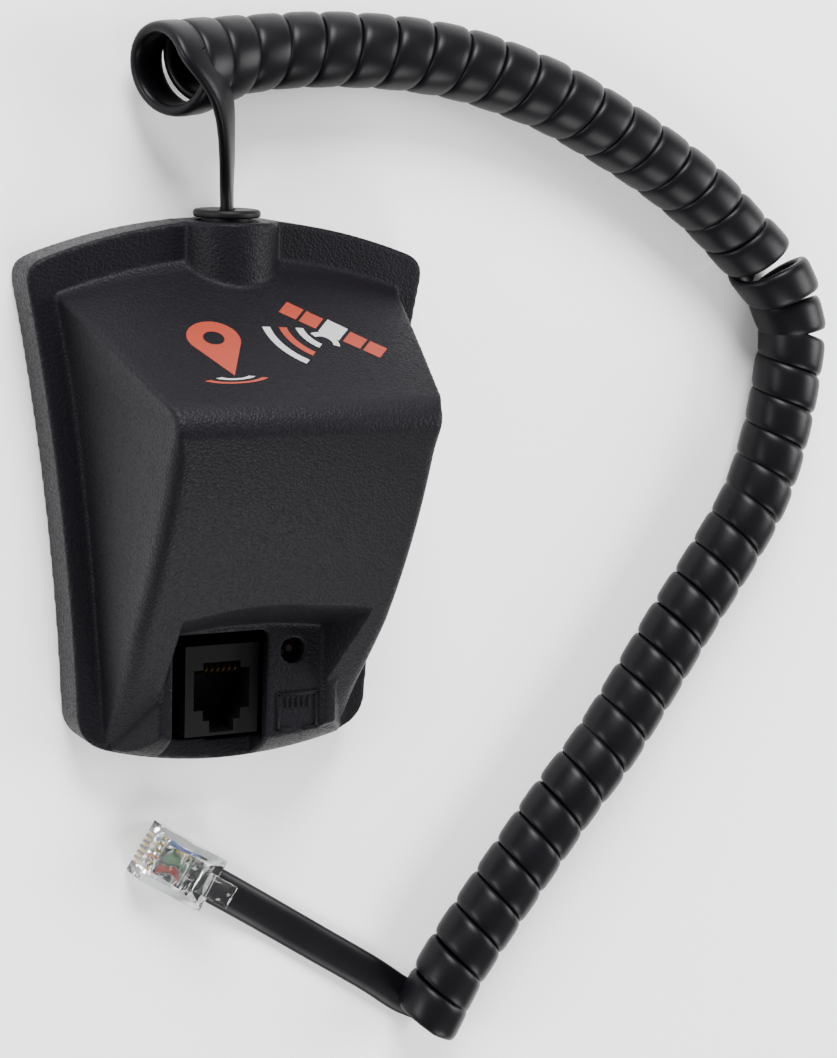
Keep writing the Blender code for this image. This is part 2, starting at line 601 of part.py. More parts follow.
def board_parts():
    """The circuit board and what is soldered or clipped to it."""
    board = box("main_board", (-BOARD_HALF, BOARD_Y[0], BOARD_BACK), (BOARD_HALF, BOARD_Y[1], BOARD_FRONT),
                PARTS, BOARD_BLACK)
    for index, (x, y) in enumerate(SCREWS[2:]):
        cut(board, rod(f"post_notch_{index}", (x, y, 0.0), (x, y, 0.010), 0.0033, sides=16))
    for index, (x, y) in enumerate(BOARD_SCREWS):
        cut(board, rod(f"board_hole_{index}", (x, y, 0.0), (x, y, 0.010), 0.0012, sides=12))
        screw(f"board_screw_{index + 1}", x, y, BOARD_FRONT + GAP, BOARD_FRONT + 0.0016, 0.0021,
              0.0018, 0.0009)
    on = BOARD_FRONT + GAP
    antenna = box("patch_antenna", (-0.0125, -0.0105, on), (0.0125, 0.0145, on + 0.0040), PARTS, CERAMIC)
    cut(antenna, rod("feed_hole", (-0.0020, 0.0020, on - 0.001), (-0.0020, 0.0020, on + 0.006), 0.0009,
                     sides=12))
    element = box("antenna_element", (-0.0105, -0.0085, on + 0.0043), (0.0105, 0.0125, on + 0.0046),
                  PARTS, TINPLATE)
    cut(element, rod("element_hole", (-0.0020, 0.0020, on), (-0.0020, 0.0020, on + 0.006), 0.0009, sides=12))
    rod("antenna_pin", (-0.0020, 0.0020, on), (-0.0020, 0.0020, on + 0.0050), 0.0005, PARTS, GOLD, 12)
    can = box("receiver_shield", (-0.0150, -0.0350, on), (-0.0113, -0.0215, on + 0.0022), PARTS, TINPLATE)
    can.modifiers.new("rounded", "BEVEL").width = 0.0002
    box("microcontroller", (0.0050, -0.0195, on), (0.0120, -0.0125, on + 0.0012), PARTS, EPOXY)
    box("crystal", (0.0100, -0.0375, on), (0.0148, -0.0345, on + 0.0020), PARTS, TINPLATE, 0.0003)
    box("voltage_regulator", (0.0110, -0.0330, on), (0.0155, -0.0290, on + 0.0016), PARTS, EPOXY)
    holder = rod("cell_holder", (0.0080, 0.0195, on), (0.0080, 0.0195, on + 0.0030), 0.0050, PARTS, EPOXY, 28)
    cut(holder, rod("cell_pocket", (0.0080, 0.0195, on + 0.0006), (0.0080, 0.0195, on + 0.006), 0.0042))
    rod("backup_cell", (0.0080, 0.0195, on + 0.0009), (0.0080, 0.0195, on + 0.0027), 0.0038, PARTS, STEEL, 24)
    for index, (x, y) in enumerate(((-0.0156, -0.0060), (-0.0156, 0.0010), (0.0156, -0.0060), (0.0156, 0.0010))):
        rod(f"capacitor_{index + 1}", (x, y, on), (x, y, on + 0.0045), 0.0020, PARTS, TINPLATE, 16)
    lamp = rod("status_led", (*LED, on + 0.0062), (*LED, 0.0146), 0.0015, PARTS, LED_RED, 20)
    join(lamp, rod("lamp_rim", (*LED, on + 0.0062), (*LED, on + 0.0070), 0.0018, sides=20))
    join(lamp, rod("lamp_dome", (*LED, 0.0144), (*LED, 0.0156), 0.0014, sides=20, tip=0.0006))
    smooth(lamp)
    spacer = rod("led_spacer", (*LED, on), (*LED, on + 0.0059), 0.0022, PARTS, EPOXY, 20)
    cut(spacer, rod("leg_hole", (LED[0], LED[1], on - 0.001), (LED[0], LED[1], on + 0.009), 0.0008, sides=12))


def inner_lead():
    """Header, crimp housing, clamp and the stretch of flat lead inside the housing."""
    on = BOARD_FRONT + GAP
    header = box("board_header", (-0.0128, 0.0180, on), (-0.0008, 0.0225, on + 0.0050), PARTS, HEADER_WHITE)
    cut(header, box("header_pocket", (-0.0120, 0.0188, on + 0.0010), (-0.0016, 0.0217, on + 0.007)))
    box("lead_connector", (-0.0117, 0.0191, on + 0.0013), (-0.0019, 0.0214, on + 0.0070), PARTS, HEADER_WHITE)
    route = ((0.0, 0.0387, BOSS_Z), (0.0, 0.0349, 0.0065), (-0.0015, 0.0309, 0.0075),
             (-0.0040, 0.0264, 0.0120), (-0.0064, 0.0222, 0.0158), (-0.0068, 0.0203, 0.0150))
    tube("inner_lead", smooth_route(route, 0.0025), 0.0018, LEAD_PVC)


def plug_place():
    """The plug's own frame: X from its front to its rear, Z up, on the surface under the module."""
    return Matrix.Translation((*PLUG_FRONT, PLUG_BASE)) @ Matrix.Rotation(PLUG_TURN, 4, "Z")


def at_plug(obj):
    obj.data.transform(plug_place())
    return obj


def plug():
    length, width, height = PLUG_SIZE
    half = width / 2
    body = box("plug_body", (0, -half, 0), (length, half, height - 0.0008), PARTS, CLEAR)
    cut(body, box("lead_socket", (0.0070, -0.0037, 0.0016), (0.020, 0.0037, 0.0044)),
        box("wire_space", (0.0035, -0.0034, 0.0022), (0.0072, 0.0034, 0.0036)))
    for index in range(CONTACTS):
        y = (index - (CONTACTS - 1) / 2) * CONTACT_PITCH
        cut(body, box(f"slot_{index}", (-0.001, y - 0.00030, -0.001), (0.0030, y + 0.00030, 0.0026)))
        blade = box(f"plug_contact_{index + 1}", (0.0003, y - 0.00015, 0.0004), (0.0027, y + 0.00015, 0.0023),
                    PARTS, GOLD)
        at_plug(blade)
    at_plug(body)
    start, end = Vector((0.0038, 0, 0.0029)), Vector((0.0126, 0, 0.0029))
    places = [Vector((0, (index - (CONTACTS - 1) / 2) * 0.00098, 0)) for index in range(CONTACTS)]
    wires = rod("plug_conductors", start + places[0], end + places[0], 0.00052, PARTS, COPPER, 12)
    join(wires, *[rod("wire", start + place, end + place, 0.00052, sides=12) for place in places[1:]])
    at_plug(wires)
    latch = bmesh.new()
    side = ((0.0010, height - 0.0005), (0.0010, height + 0.0005), (0.0065, height + 0.0012),
            (0.0150, height + 0.0034), (0.0151, height + 0.0024), (0.0068, height + 0.0001))
    widths = (0.0026, 0.0026, 0.0031, 0.0031, 0.0031, 0.0031)
    rings = [[latch.verts.new((x, sign * wide, z)) for (x, z), wide in zip(side, widths)]
             for sign in (-1, 1)]
    for index in range(len(side)):
        latch.faces.new((rings[0][index], rings[0][index - 1], rings[1][index - 1], rings[1][index]))
    latch.faces.new(rings[0])
    latch.faces.new(rings[1])
    at_plug(from_bmesh(latch, "plug_latch", PARTS, CLEAR))


def cord():
    lifts = [*COIL_END_LIFT, *[0.0] * (len(COIL_ROUTE) - len(COIL_END_LIFT))]
    lifted = [(x, y, COIL_DIAMETER / 2 + 0.0001 + lift) for (x, y), lift in zip(COIL_ROUTE, lifts)]
    coil = smooth_route(lifted, 0.0060)
    tube("cord_coil", coil, COIL_DIAMETER / 2, LEAD_PVC, 3)
    tube("cord_lead_in", smooth_route(LEAD_IN_ROUTE, 0.0035), LEAD_RADIUS, LEAD_PVC)
    tube("cord_lead_out", smooth_route(LEAD_OUT_ROUTE, 0.0050), LEAD_RADIUS, LEAD_PVC)


front_housing()
rear_cover()
for number, (screw_x, screw_y) in enumerate(SCREWS, start=1):
    screw(f"case_screw_{number}", screw_x, screw_y, 0.0002, 0.0010, 0.0025, 0.0070, 0.0012)
box("rating_label", (-0.0147, -0.0167, 0.00005), (0.0147, 0.0027, 0.00025), PARTS, LABEL)
grommet()
jack()
jack_contacts()
board_parts()
inner_lead()
plug()
cord()
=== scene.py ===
"""Looks for the GPS receiver module: grained housing, printed face, curly flat lead and clear modular plug.

Everything is in metres in the frame of the CAD model: the module lies on its back, its lead leaves at +Y.
"""
import math

import bmesh
import bpy
import numpy as np
from mathutils import Matrix, Vector
from mathutils.bvhtree import BVHTree


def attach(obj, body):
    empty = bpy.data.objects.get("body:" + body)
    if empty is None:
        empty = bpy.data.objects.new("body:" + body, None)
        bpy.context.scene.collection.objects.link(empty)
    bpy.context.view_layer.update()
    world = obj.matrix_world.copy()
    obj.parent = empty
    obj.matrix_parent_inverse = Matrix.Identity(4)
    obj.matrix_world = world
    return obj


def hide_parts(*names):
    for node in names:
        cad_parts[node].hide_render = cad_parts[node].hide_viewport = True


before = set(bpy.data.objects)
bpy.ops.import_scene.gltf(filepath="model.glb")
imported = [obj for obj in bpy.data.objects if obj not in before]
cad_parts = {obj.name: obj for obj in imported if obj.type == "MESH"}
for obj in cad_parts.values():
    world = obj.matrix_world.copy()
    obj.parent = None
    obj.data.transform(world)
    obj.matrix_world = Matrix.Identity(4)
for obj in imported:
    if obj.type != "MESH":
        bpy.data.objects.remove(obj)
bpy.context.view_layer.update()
ROOT = "module_and_cord"

# Housing, as in the CAD model
WALL = 0.0022
TOP_HALF, BOTTOM_HALF = 0.0350, 0.0256      # half widths of the flange at its top and bottom corners
TOP_Y, BOTTOM_Y = 0.0370, -0.0410           # places of those corners
TOP_RISE, BOTTOM_RISE = 0.0070, 0.0045      # how far the top and bottom edges bow outwards
SIDE_BOW = 0.0016                           # how far the side edges bow inwards
TOP_CORNER, BOTTOM_CORNER = 0.0032, 0.0048
FLANGE = 0.0086                             # thickness of the flange
RIDGE_Y, RIDGE_Z, RIDGE_RADIUS = 0.0170, 0.0432, 0.0048
VALLEY_Y, VALLEY_RISE = 0.0323, 0.0047      # where the print face runs down to the flange
FACE_HALF, VALLEY_HALF = 0.0224, 0.0300     # half widths of the front face and of the valley
FOOT_Z, FACE_BULGE, FOOT_MARGIN = 0.0088, 0.0046, 0.0040
SHOULDER, PRINT_SHOULDER, CROWN = 0.0034, 0.0010, 0.0007
SHARPENING = 0.0080                         # the shoulder sharpens over this length, below the ridge
FLANK_CURVE = 1.7                           # power of the flanks' hollow curve
SLOPE = 1.1                                 # a wall square to a sloping face is this much more along an axis
RIDGE_BENDS = (-0.0060, 0.0026)             # the loft is finest between these places, from the ridge
PLATFORM_Z, PLATFORM_LEFT, PLATFORM_RIGHT = 0.0173, -0.0150, 0.0159
PLATFORM_DRAFT = 0.62
PLATFORM_FOOT, PLATFORM_SLANT = 0.0092, 0.0046      # its end leans back above this height, by this much
CEILING_Y, CEILING_RISE, RECESS_RIGHT, RECESS_FLARE = -0.0220, 0.0011, 0.0133, 0.46
WINDOW, WINDOW_TOP, WINDOW_SILL, WINDOW_CORNER = (-0.0127, 0.0038), -0.0222, 0.0098, 0.0010
BOSS_RADIUS, BOSS_Z, BOSS_Y = 0.0083, 0.0063, (0.0290, 0.0438)
BOSS_BORE, GROMMET_BORE = 0.0057, 0.0045
GROMMET_FACE = 0.0456
LED, LED_HOLE = (0.0083, -0.0259), 0.0021
SCREWS = ((-0.0272, 0.0315), (0.0272, 0.0315), (-0.0200, -0.0335), (0.0200, -0.0335))
POST_RADIUS, POST_HOLE = 0.0029, 0.0015
PAST_BOTTOM, PAST_TOP = -0.060, 0.050       # cutters run on to these places, outside the housing
VOXEL, QUICK_VOXEL, SOFTENING, SHELL_TRIANGLES = 0.00036, 0.0007, 4, 180_000

# Lead and plug, as in the CAD model
RIBBON = (0.0064, 0.0021)
COIL_RADIUS = 0.00512                           # of the lead's centre line in the coil
END_RING_RADIUS = 0.0073                        # of the first, larger turn at the module's end
TURN_STEPS, PITCH = 40, 0.0066
START_TURN = 0.07                               # the lead joins the first turn a little past its top
RING_AXIS = Vector((0.91, 0.06, -0.40))         # the way the first turn's axis leans
RING_LENGTH, RING_TURNS, RING_CLOSING = 0.0270, 3.0, 0.22
CLOSING_LENGTH = 1.6 * PITCH                    # the first turns lie closer together over this length
KINK, KINK_OPENING, KINK_BULGE = (0.1056, 0.0340), 0.40, 0.0009
OPENING_LENGTH, BULGE_LENGTH = 0.55 * PITCH, 0.7 * PITCH        # where the kink parts and widens them
LEAD_TILT = math.radians(-26)
TWIST_START, TWIST_LENGTH = 0.04, 0.80          # of the lead's twist, as parts of its way to the coil
COIL_ROUTE = (
    (-0.0125, 0.0671, 0.0098), (-0.0060, 0.0688, 0.0085), (0.0015, 0.0702, 0.0074),
    (0.0097, 0.0711, 0.0067), (0.0197, 0.0715, 0.0064), (0.0309, 0.0711, 0.0063),
    (0.0420, 0.0696, 0.0063), (0.0527, 0.0667, 0.0063), (0.0634, 0.0627, 0.0063),
    (0.0797, 0.0542, 0.0063), (0.0910, 0.0468, 0.0063), (0.0989, 0.0400, 0.0063),
    (0.1035, 0.0359, 0.0063), (0.1070, 0.0321, 0.0063), (0.1106, 0.0249, 0.0063),
    (0.1109, 0.0200, 0.0063), (0.1089, 0.0064, 0.0063), (0.1049, -0.0064, 0.0063),
    (0.0980, -0.0177, 0.0063), (0.0906, -0.0282, 0.0063), (0.0825, -0.0403, 0.0063),
    (0.0750, -0.0510, 0.0063), (0.0675, -0.0597, 0.0063), (0.0603, -0.0688, 0.0063),
    (0.0529, -0.0784, 0.0063), (0.0454, -0.0886, 0.0063), (0.0412, -0.0962, 0.0063),
)
LEAD_IN_ROUTE = ((0.0, 0.0456, 0.0063), (-0.0003, 0.0495, 0.0068), (-0.0010, 0.0536, 0.0085),
                 (-0.0026, 0.0592, 0.0118), (-0.0040, 0.0628, 0.0138), (-0.0062, 0.0664, 0.0154))
PLUG_SIZE = (0.0131, 0.00965, 0.0066)
PLUG_FRONT, PLUG_TURN, PLUG_BASE = (-0.0117, -0.0616), math.radians(-32), 0.0004
LEAD_HEIGHT = 0.0029                            # of the lead's middle above the plug's base
LEAD_END, PLUG_MOUTH = 0.0085, 0.0150           # places along the plug, from its front
CONTACTS, CONTACT_PITCH, WIRE_PITCH, WIRE_RADIUS = 6, 0.00102, 0.00108, 0.00046
WIRE_COLORS = ((0.50, 0.50, 0.48), (0.03, 0.03, 0.03), (0.40, 0.05, 0.035),
               (0.10, 0.20, 0.11), (0.50, 0.38, 0.10), (0.09, 0.13, 0.28))

# Print and port symbol
INK_LIFT, INK_EDGE = 0.00004, 0.0009            # height above the face, and longest edge, of the ink
PIN, PIN_RADIUS, SATELLITE, SATELLITE_TURN = (-0.0098, 0.0006), 0.0043, (0.0112, 0.0020), -42
PORT_MIDDLE, PORT_DEPTH, PORT_HEIGHT = (0.0092, -0.0362), 0.0002, 0.00032

# Camera
CAMERA_TARGET = Vector((0.03949, -0.01034, 0.0))
CAMERA_AZIMUTH, CAMERA_TILT, CAMERA_ROLL = math.radians(-26.3), math.radians(11.2), math.radians(1.55)
CAMERA_DISTANCE = 0.4790
SENSOR, LENS = 36.0, 93.69


def camera():
    """Looks down on the front of the module from a little to its left and towards its top."""
    back = Vector((math.sin(CAMERA_AZIMUTH), math.sin(CAMERA_TILT) * math.cos(CAMERA_AZIMUTH),
                   math.cos(CAMERA_AZIMUTH) * math.cos(CAMERA_TILT))).normalized()
    right = Vector((0, 1, 0)).cross(back).normalized()
    up = back.cross(right)
    turn = Matrix((right, up, back)).transposed() @ Matrix.Rotation(CAMERA_ROLL, 3, "Z")
    data = bpy.data.cameras.new("camera")
    data.sensor_width, data.lens = SENSOR, LENS
    data.clip_start, data.clip_end = 0.01, 10
    viewer = bpy.data.objects.new("camera", data)
    viewer.matrix_world = Matrix.Translation(CAMERA_TARGET + back * CAMERA_DISTANCE) @ turn.to_4x4()
    bpy.context.scene.collection.objects.link(viewer)
    bpy.context.scene.camera = viewer


camera()


# Materials --------------------------------------------------------------------------------------

def new_material(name):
    """A new material, its node tree and its shader."""
    made = bpy.data.materials.new(name)
    made.use_nodes = True
    tree = made.node_tree
    return made, tree, tree.nodes["Principled BSDF"]


def node(tree, kind, **settings):
    """A new node, with its inputs and its own settings given by name."""
    made = tree.nodes.new(kind)
    for key, value in settings.items():
        if key in made.inputs:
            made.inputs[key].default_value = value
        else:
            setattr(made, key, value)
    return made


def object_space(tree):
    return tree.nodes.new("ShaderNodeTexCoord").outputs["Object"]


def scaled(tree, low, high):
    """A remap of a 0 to 1 value to one between two numbers."""
    made = node(tree, "ShaderNodeMapRange")
    made.inputs["To Min"].default_value = low
    made.inputs["To Max"].default_value = high
    return made


def grained_plastic(name, color, roughness, grain=0.00045, depth=0.00005, speckle=0.25, shine=0.09):
    """Moulded black plastic with a leathery spark-eroded grain and slightly uneven gloss."""
    made, tree, shader = new_material(name)
    links = tree.links
    place = object_space(tree)
    warp = node(tree, "ShaderNodeTexNoise", Scale=0.5 / grain, Detail=2.0)
    links.new(place, warp.inputs["Vector"])
    mixed = node(tree, "ShaderNodeVectorMath", operation="MULTIPLY_ADD")
    links.new(warp.outputs["Color"], mixed.inputs[0])
    mixed.inputs[1].default_value = (grain, grain, grain)
    links.new(place, mixed.inputs[2])
    cells = node(tree, "ShaderNodeTexVoronoi", feature="SMOOTH_F1", Scale=1.0 / grain, Smoothness=0.45)
    links.new(mixed.outputs["Vector"], cells.inputs["Vector"])
    fine = node(tree, "ShaderNodeTexNoise", Scale=3.0 / grain, Detail=3.0, Roughness=0.6)
    links.new(place, fine.inputs["Vector"])
    height = node(tree, "ShaderNodeMath", operation="MULTIPLY_ADD")
    links.new(fine.outputs["Fac"], height.inputs[0])
    height.inputs[1].default_value = 0.35
    links.new(cells.outputs["Distance"], height.inputs[2])
    bump = node(tree, "ShaderNodeBump", Strength=0.85, Distance=depth)
    links.new(height.outputs["Value"], bump.inputs["Height"])
    links.new(bump.outputs["Normal"], shader.inputs["Normal"])
    patches = node(tree, "ShaderNodeTexNoise", Scale=90.0, Detail=4.0)
    links.new(place, patches.inputs["Vector"])
    tone = node(tree, "ShaderNodeMix", data_type="RGBA")
    tone.inputs["A"].default_value = (*[value * 0.85 for value in color], 1)
    tone.inputs["B"].default_value = (*[value * 1.2 for value in color], 1)
    links.new(patches.outputs["Fac"], tone.inputs["Factor"])
    links.new(tone.outputs["Result"], shader.inputs["Base Color"])
    gloss = scaled(tree, roughness - speckle / 2, roughness + speckle / 2)
    links.new(cells.outputs["Distance"], gloss.inputs["Value"])
    links.new(gloss.outputs["Result"], shader.inputs["Roughness"])
    shader.inputs["Specular IOR Level"].default_value = shine
    return made


def plain(name, color, roughness, metallic=0.0, scale=400.0, depth=0.00001, spread=0.08, shine=0.5):
    """A smooth material with faint surface noise, so that it isn't one flat colour."""
    made, tree, shader = new_material(name)
    links = tree.links
    place = object_space(tree)
    noise = node(tree, "ShaderNodeTexNoise", Scale=scale, Detail=4.0)
    links.new(place, noise.inputs["Vector"])
    tone = node(tree, "ShaderNodeMix", data_type="RGBA")
    tone.inputs["A"].default_value = (*[value * 0.88 for value in color], 1)
    tone.inputs["B"].default_value = (*[min(value * 1.12, 1.0) for value in color], 1)
    links.new(noise.outputs["Fac"], tone.inputs["Factor"])
    links.new(tone.outputs["Result"], shader.inputs["Base Color"])
    gloss = scaled(tree, roughness - spread / 2, roughness + spread / 2)
    links.new(noise.outputs["Fac"], gloss.inputs["Value"])
    links.new(gloss.outputs["Result"], shader.inputs["Roughness"])
    bump = node(tree, "ShaderNodeBump", Strength=0.4, Distance=depth)
    links.new(noise.outputs["Fac"], bump.inputs["Height"])
    links.new(bump.outputs["Normal"], shader.inputs["Normal"])
    shader.inputs["Metallic"].default_value = metallic
    shader.inputs["Specular IOR Level"].default_value = shine
    return made


def clear_plastic(name):
    """Moulded clear plastic with slightly uneven gloss."""
    made, tree, shader = new_material(name)
    shader.inputs["Transmission Weight"].default_value = 1.0
    shader.inputs["IOR"].default_value = 1.49
    noise = node(tree, "ShaderNodeTexNoise", Scale=350.0, Detail=2.0)
    tree.links.new(object_space(tree), noise.inputs["Vector"])
    gloss = scaled(tree, 0.02, 0.09)
    tree.links.new(noise.outputs["Fac"], gloss.inputs["Value"])
    tree.links.new(gloss.outputs["Result"], shader.inputs["Roughness"])
    tone = node(tree, "ShaderNodeMix", data_type="RGBA")
    tone.inputs["A"].default_value = (0.96, 0.98, 0.99, 1)
    tone.inputs["B"].default_value = (1.0, 1.0, 1.0, 1)
    tree.links.new(noise.outputs["Fac"], tone.inputs["Factor"])
    tree.links.new(tone.outputs["Result"], shader.inputs["Base Color"])
    return made


HOUSING = grained_plastic("housing_abs", (0.0042, 0.0036, 0.0052), 0.48, depth=0.00010, speckle=0.34)
COVER = grained_plastic("cover_abs", (0.006, 0.0055, 0.0068), 0.55, grain=0.0006)
JACK = plain("jack_nylon_look", (0.0045, 0.0045, 0.005), 0.52, shine=0.10)
RUBBER = plain("rubber_look", (0.0035, 0.0035, 0.004), 0.50, scale=900, depth=0.00002, shine=0.14)
PVC = plain("lead_pvc_look", (0.0030, 0.0025, 0.0036), 0.38, scale=260, depth=0.00002, spread=0.10,
            shine=0.11)
CLEAR = clear_plastic("clear_look")
GOLD = plain("gold_look", (0.95, 0.70, 0.28), 0.22, 1.0)
DULL_GOLD = plain("dull_gold_look", (0.06, 0.036, 0.012), 0.45, 1.0)
STEEL = plain("zinc_look", (0.62, 0.62, 0.64), 0.32, 1.0)
TIN = plain("tin_look", (0.72, 0.72, 0.71), 0.28, 1.0)
BOARD = plain("board_look", (0.008, 0.009, 0.010), 0.45, shine=0.25)
CERAMIC = plain("ceramic_look", (0.62, 0.52, 0.36), 0.60, scale=1500)
EPOXY = plain("epoxy_look", (0.022, 0.022, 0.023), 0.50, scale=1500)
NYLON = plain("header_look", (0.80, 0.78, 0.70), 0.45)
LAMP = plain("led_look", (0.012, 0.002, 0.003), 0.25, shine=0.25)
LABEL = plain("label_look", (0.50, 0.51, 0.53), 0.38)
WHITE_INK = plain("white_ink", (0.30, 0.30, 0.31), 0.45, scale=3000)
RED_INK = plain("orange_red_ink", (0.20, 0.015, 0.002), 0.45, scale=3000)


# Mesh helpers -----------------------------------------------------------------------------------

def place_object(name, mesh, surface=None):
    obj = bpy.data.objects.new(name, mesh)
    bpy.context.scene.collection.objects.link(obj)
    if surface:
        mesh.materials.clear()
        mesh.materials.append(surface)
    return obj


def from_bmesh(made, name, surface=None, smooth=None):
    """An object from a bmesh, shaded smooth below an angle where one is given."""
    bmesh.ops.recalc_face_normals(made, faces=made.faces)
    mesh = bpy.data.meshes.new(name)
    made.to_mesh(mesh)
    made.free()
    obj = place_object(name, mesh, surface)
    if smooth is not None:
        mesh.shade_smooth()
        mesh.set_sharp_from_angle(angle=math.radians(smooth))
    return obj


def rings_solid(name, rings, surface=None, smooth=None):
    """Joins rings of points, one after another, into a closed body."""
    made = bmesh.new()
    loops = [[made.verts.new(place) for place in ring] for ring in rings]
    for ring, following in zip(loops, loops[1:]):
        for index in range(len(ring)):
            made.faces.new((ring[index], ring[index - 1], following[index - 1], following[index]))
    made.faces.new(loops[0])
    made.faces.new(loops[-1])
    return from_bmesh(made, name, surface, smooth)


def box(name, low, high):
    """A box between its lowest and highest corners."""
    made = bmesh.new()
    bmesh.ops.create_cube(made, size=1.0)
    bmesh.ops.scale(made, vec=Vector(high) - Vector(low), verts=made.verts)
    bmesh.ops.translate(made, vec=(Vector(high) + Vector(low)) / 2, verts=made.verts)
    return from_bmesh(made, name)


def rod(name, start, end, radius, sides=48):
    """A round rod between two places."""
    made = bmesh.new()
    along = Vector(end) - Vector(start)
    bmesh.ops.create_cone(made, cap_ends=True, segments=sides, radius1=radius, radius2=radius,
                          depth=along.length)
    turn = Vector((0, 0, 1)).rotation_difference(along).to_matrix()
    bmesh.ops.rotate(made, cent=(0, 0, 0), matrix=turn, verts=made.verts)
    bmesh.ops.translate(made, vec=(Vector(start) + Vector(end)) / 2, verts=made.verts)
    return from_bmesh(made, name)


def bake_modifiers(obj):
    """Makes the object's mesh what its modifiers make of it."""
    bpy.context.view_layer.update()
    mesh = bpy.data.meshes.new_from_object(obj.evaluated_get(bpy.context.evaluated_depsgraph_get()))
    surfaces = list(obj.data.materials)
    obj.modifiers.clear()
    obj.data = mesh
    mesh.materials.clear()
    for surface in surfaces:
        mesh.materials.append(surface)
    return obj


def boolean(obj, operation, *others):
    """Joins other bodies to the object or cuts them from it, and removes them."""
    for other in others:
        step = obj.modifiers.new(operation.lower(), "BOOLEAN")
        step.operation = operation
        step.object = other
        bake_modifiers(obj)
        bpy.data.objects.remove(other, do_unlink=True)
    return obj


def rounded(obj, width, segments=2, smooth=40, limit=35):
    """Rounds every edge sharper than limit degrees."""
    bevel = obj.modifiers.new("rounded", "BEVEL")
    bevel.width, bevel.segments = width, segments
    bevel.limit_method, bevel.angle_limit = "ANGLE", math.radians(limit)
    bevel.harden_normals = True
    bake_modifiers(obj)
    obj.data.shade_smooth()
    obj.data.set_sharp_from_angle(angle=math.radians(smooth))
    return obj


def catmull(points, steps):
    """Fine points on a smooth curve through the route's points."""
    places = [Vector(point) for point in points]
    ends = [2 * places[0] - places[1], *places, 2 * places[-1] - places[-2]]
    fine = []
    for a, b, c, d in zip(ends, ends[1:], ends[2:], ends[3:]):
        for step in range(steps):
            t = step / steps
            fine.append(0.5 * (2 * b + (c - a) * t + (2 * a - 5 * b + 4 * c - d) * t ** 2
                               + (3 * b - a - 3 * c + d) * t ** 3))
    return [*fine, places[-1]]


# Housing ----------------------------------------------------------------------------------------

def half_width(y):
    """Half the flange's width, which narrows downwards between inward bows."""
    t = (TOP_Y - y) / (TOP_Y - BOTTOM_Y)
    return TOP_HALF * (1 - t) + BOTTOM_HALF * t - 4 * SIDE_BOW * t * (1 - t)


def arc_edge(half, y, rise):
    """The top or bottom edge, as a place for each part t of its way from side to side."""
    return lambda t: Vector((half * (2 * t - 1), y + rise * 4 * t * (1 - t)))


def side_edge(sign):
    """A side edge from top to bottom, in the same form."""
    def place(t):
        y = TOP_Y + (BOTTOM_Y - TOP_Y) * t
        return Vector((sign * half_width(y), y))
    return place


def flange_outline():
    """Closed outline, clockwise from the top left corner, with rounded corners."""
    top = arc_edge(TOP_HALF, TOP_Y, TOP_RISE)
    bottom = arc_edge(-BOTTOM_HALF, BOTTOM_Y, -BOTTOM_RISE)
    right, left = side_edge(1), side_edge(-1)
    edges = ((top, TOP_CORNER, TOP_CORNER, 48), (right, TOP_CORNER, BOTTOM_CORNER, 32),
             (bottom, BOTTOM_CORNER, BOTTOM_CORNER, 40),
             (lambda t: left(1 - t), BOTTOM_CORNER, TOP_CORNER, 32))
    runs = []
    for edge, start, end, steps in edges:
        length = (edge(1) - edge(0)).length
        low, high = start / length, 1 - end / length
        runs.append([edge(low + (high - low) * step / steps) for step in range(steps + 1)])
    outline = []
    for run, following, (edge, *_rest) in zip(runs, runs[1:] + runs[:1], edges):
        corner = edge(1)
        outline += run
        for step in range(1, 10):
            t = step / 10
            outline.append(run[-1] * (1 - t) ** 2 + corner * 2 * t * (1 - t) + following[0] * t ** 2)
    return [(place.x, place.y) for place in outline]


def inset(outline, distance):
    """The clockwise outline moved inwards."""
    moved = []
    for index, point in enumerate(outline):
        before, after = Vector(outline[index - 1]), Vector(outline[(index + 1) % len(outline)])
        along = (after - before).normalized()
        moved.append((point[0] + along.y * distance, point[1] - along.x * distance))
    return moved


def slab(name, outline, low, high):
    """An outline in X and Y, made solid between two heights."""
    return rings_solid(name, [[(x, y, z) for x, y in outline] for z in (low, high)])


def body_height(y, inside=0.0):
    """Height of the body along its middle, with a round ridge. For the cavity, inside is the wall."""
    length = RIDGE_Y - BOTTOM_Y
    t = (RIDGE_Y - y) / length
    front = RIDGE_Z + (FOOT_Z - RIDGE_Z) * t + 4 * FACE_BULGE * t * (1 - t)
    rise = (RIDGE_Z - FOOT_Z - 4 * FACE_BULGE) / length
    fall = (RIDGE_Z - FLANGE) / (VALLEY_Y - RIDGE_Y)
    front_lean, print_lean = math.hypot(rise, 1), math.hypot(fall, 1)
    print_face = FLANGE + fall * (VALLEY_Y - y)
    centre_y = RIDGE_Y + RIDGE_RADIUS * (front_lean - print_lean) / (rise + fall)
    centre_z = RIDGE_Z + rise * (centre_y - RIDGE_Y) - RIDGE_RADIUS * front_lean
    radius = RIDGE_RADIUS - inside
    height = min(front - inside * SLOPE, print_face - inside * print_lean)
    if centre_y - radius * rise / front_lean < y < centre_y + radius * fall / print_lean:
        return min(height, centre_z + math.sqrt(radius ** 2 - (y - centre_y) ** 2))
    return height


def bowed_offset(y):
    """How far the middle of a cross-section bows along Y: outwards at the bottom and at the valley."""
    if y < 0:
        return -BOTTOM_RISE * (y / BOTTOM_Y) ** 3
    return VALLEY_RISE * max((y - RIDGE_Y) / (VALLEY_Y - RIDGE_Y), 0.0) ** 1.5


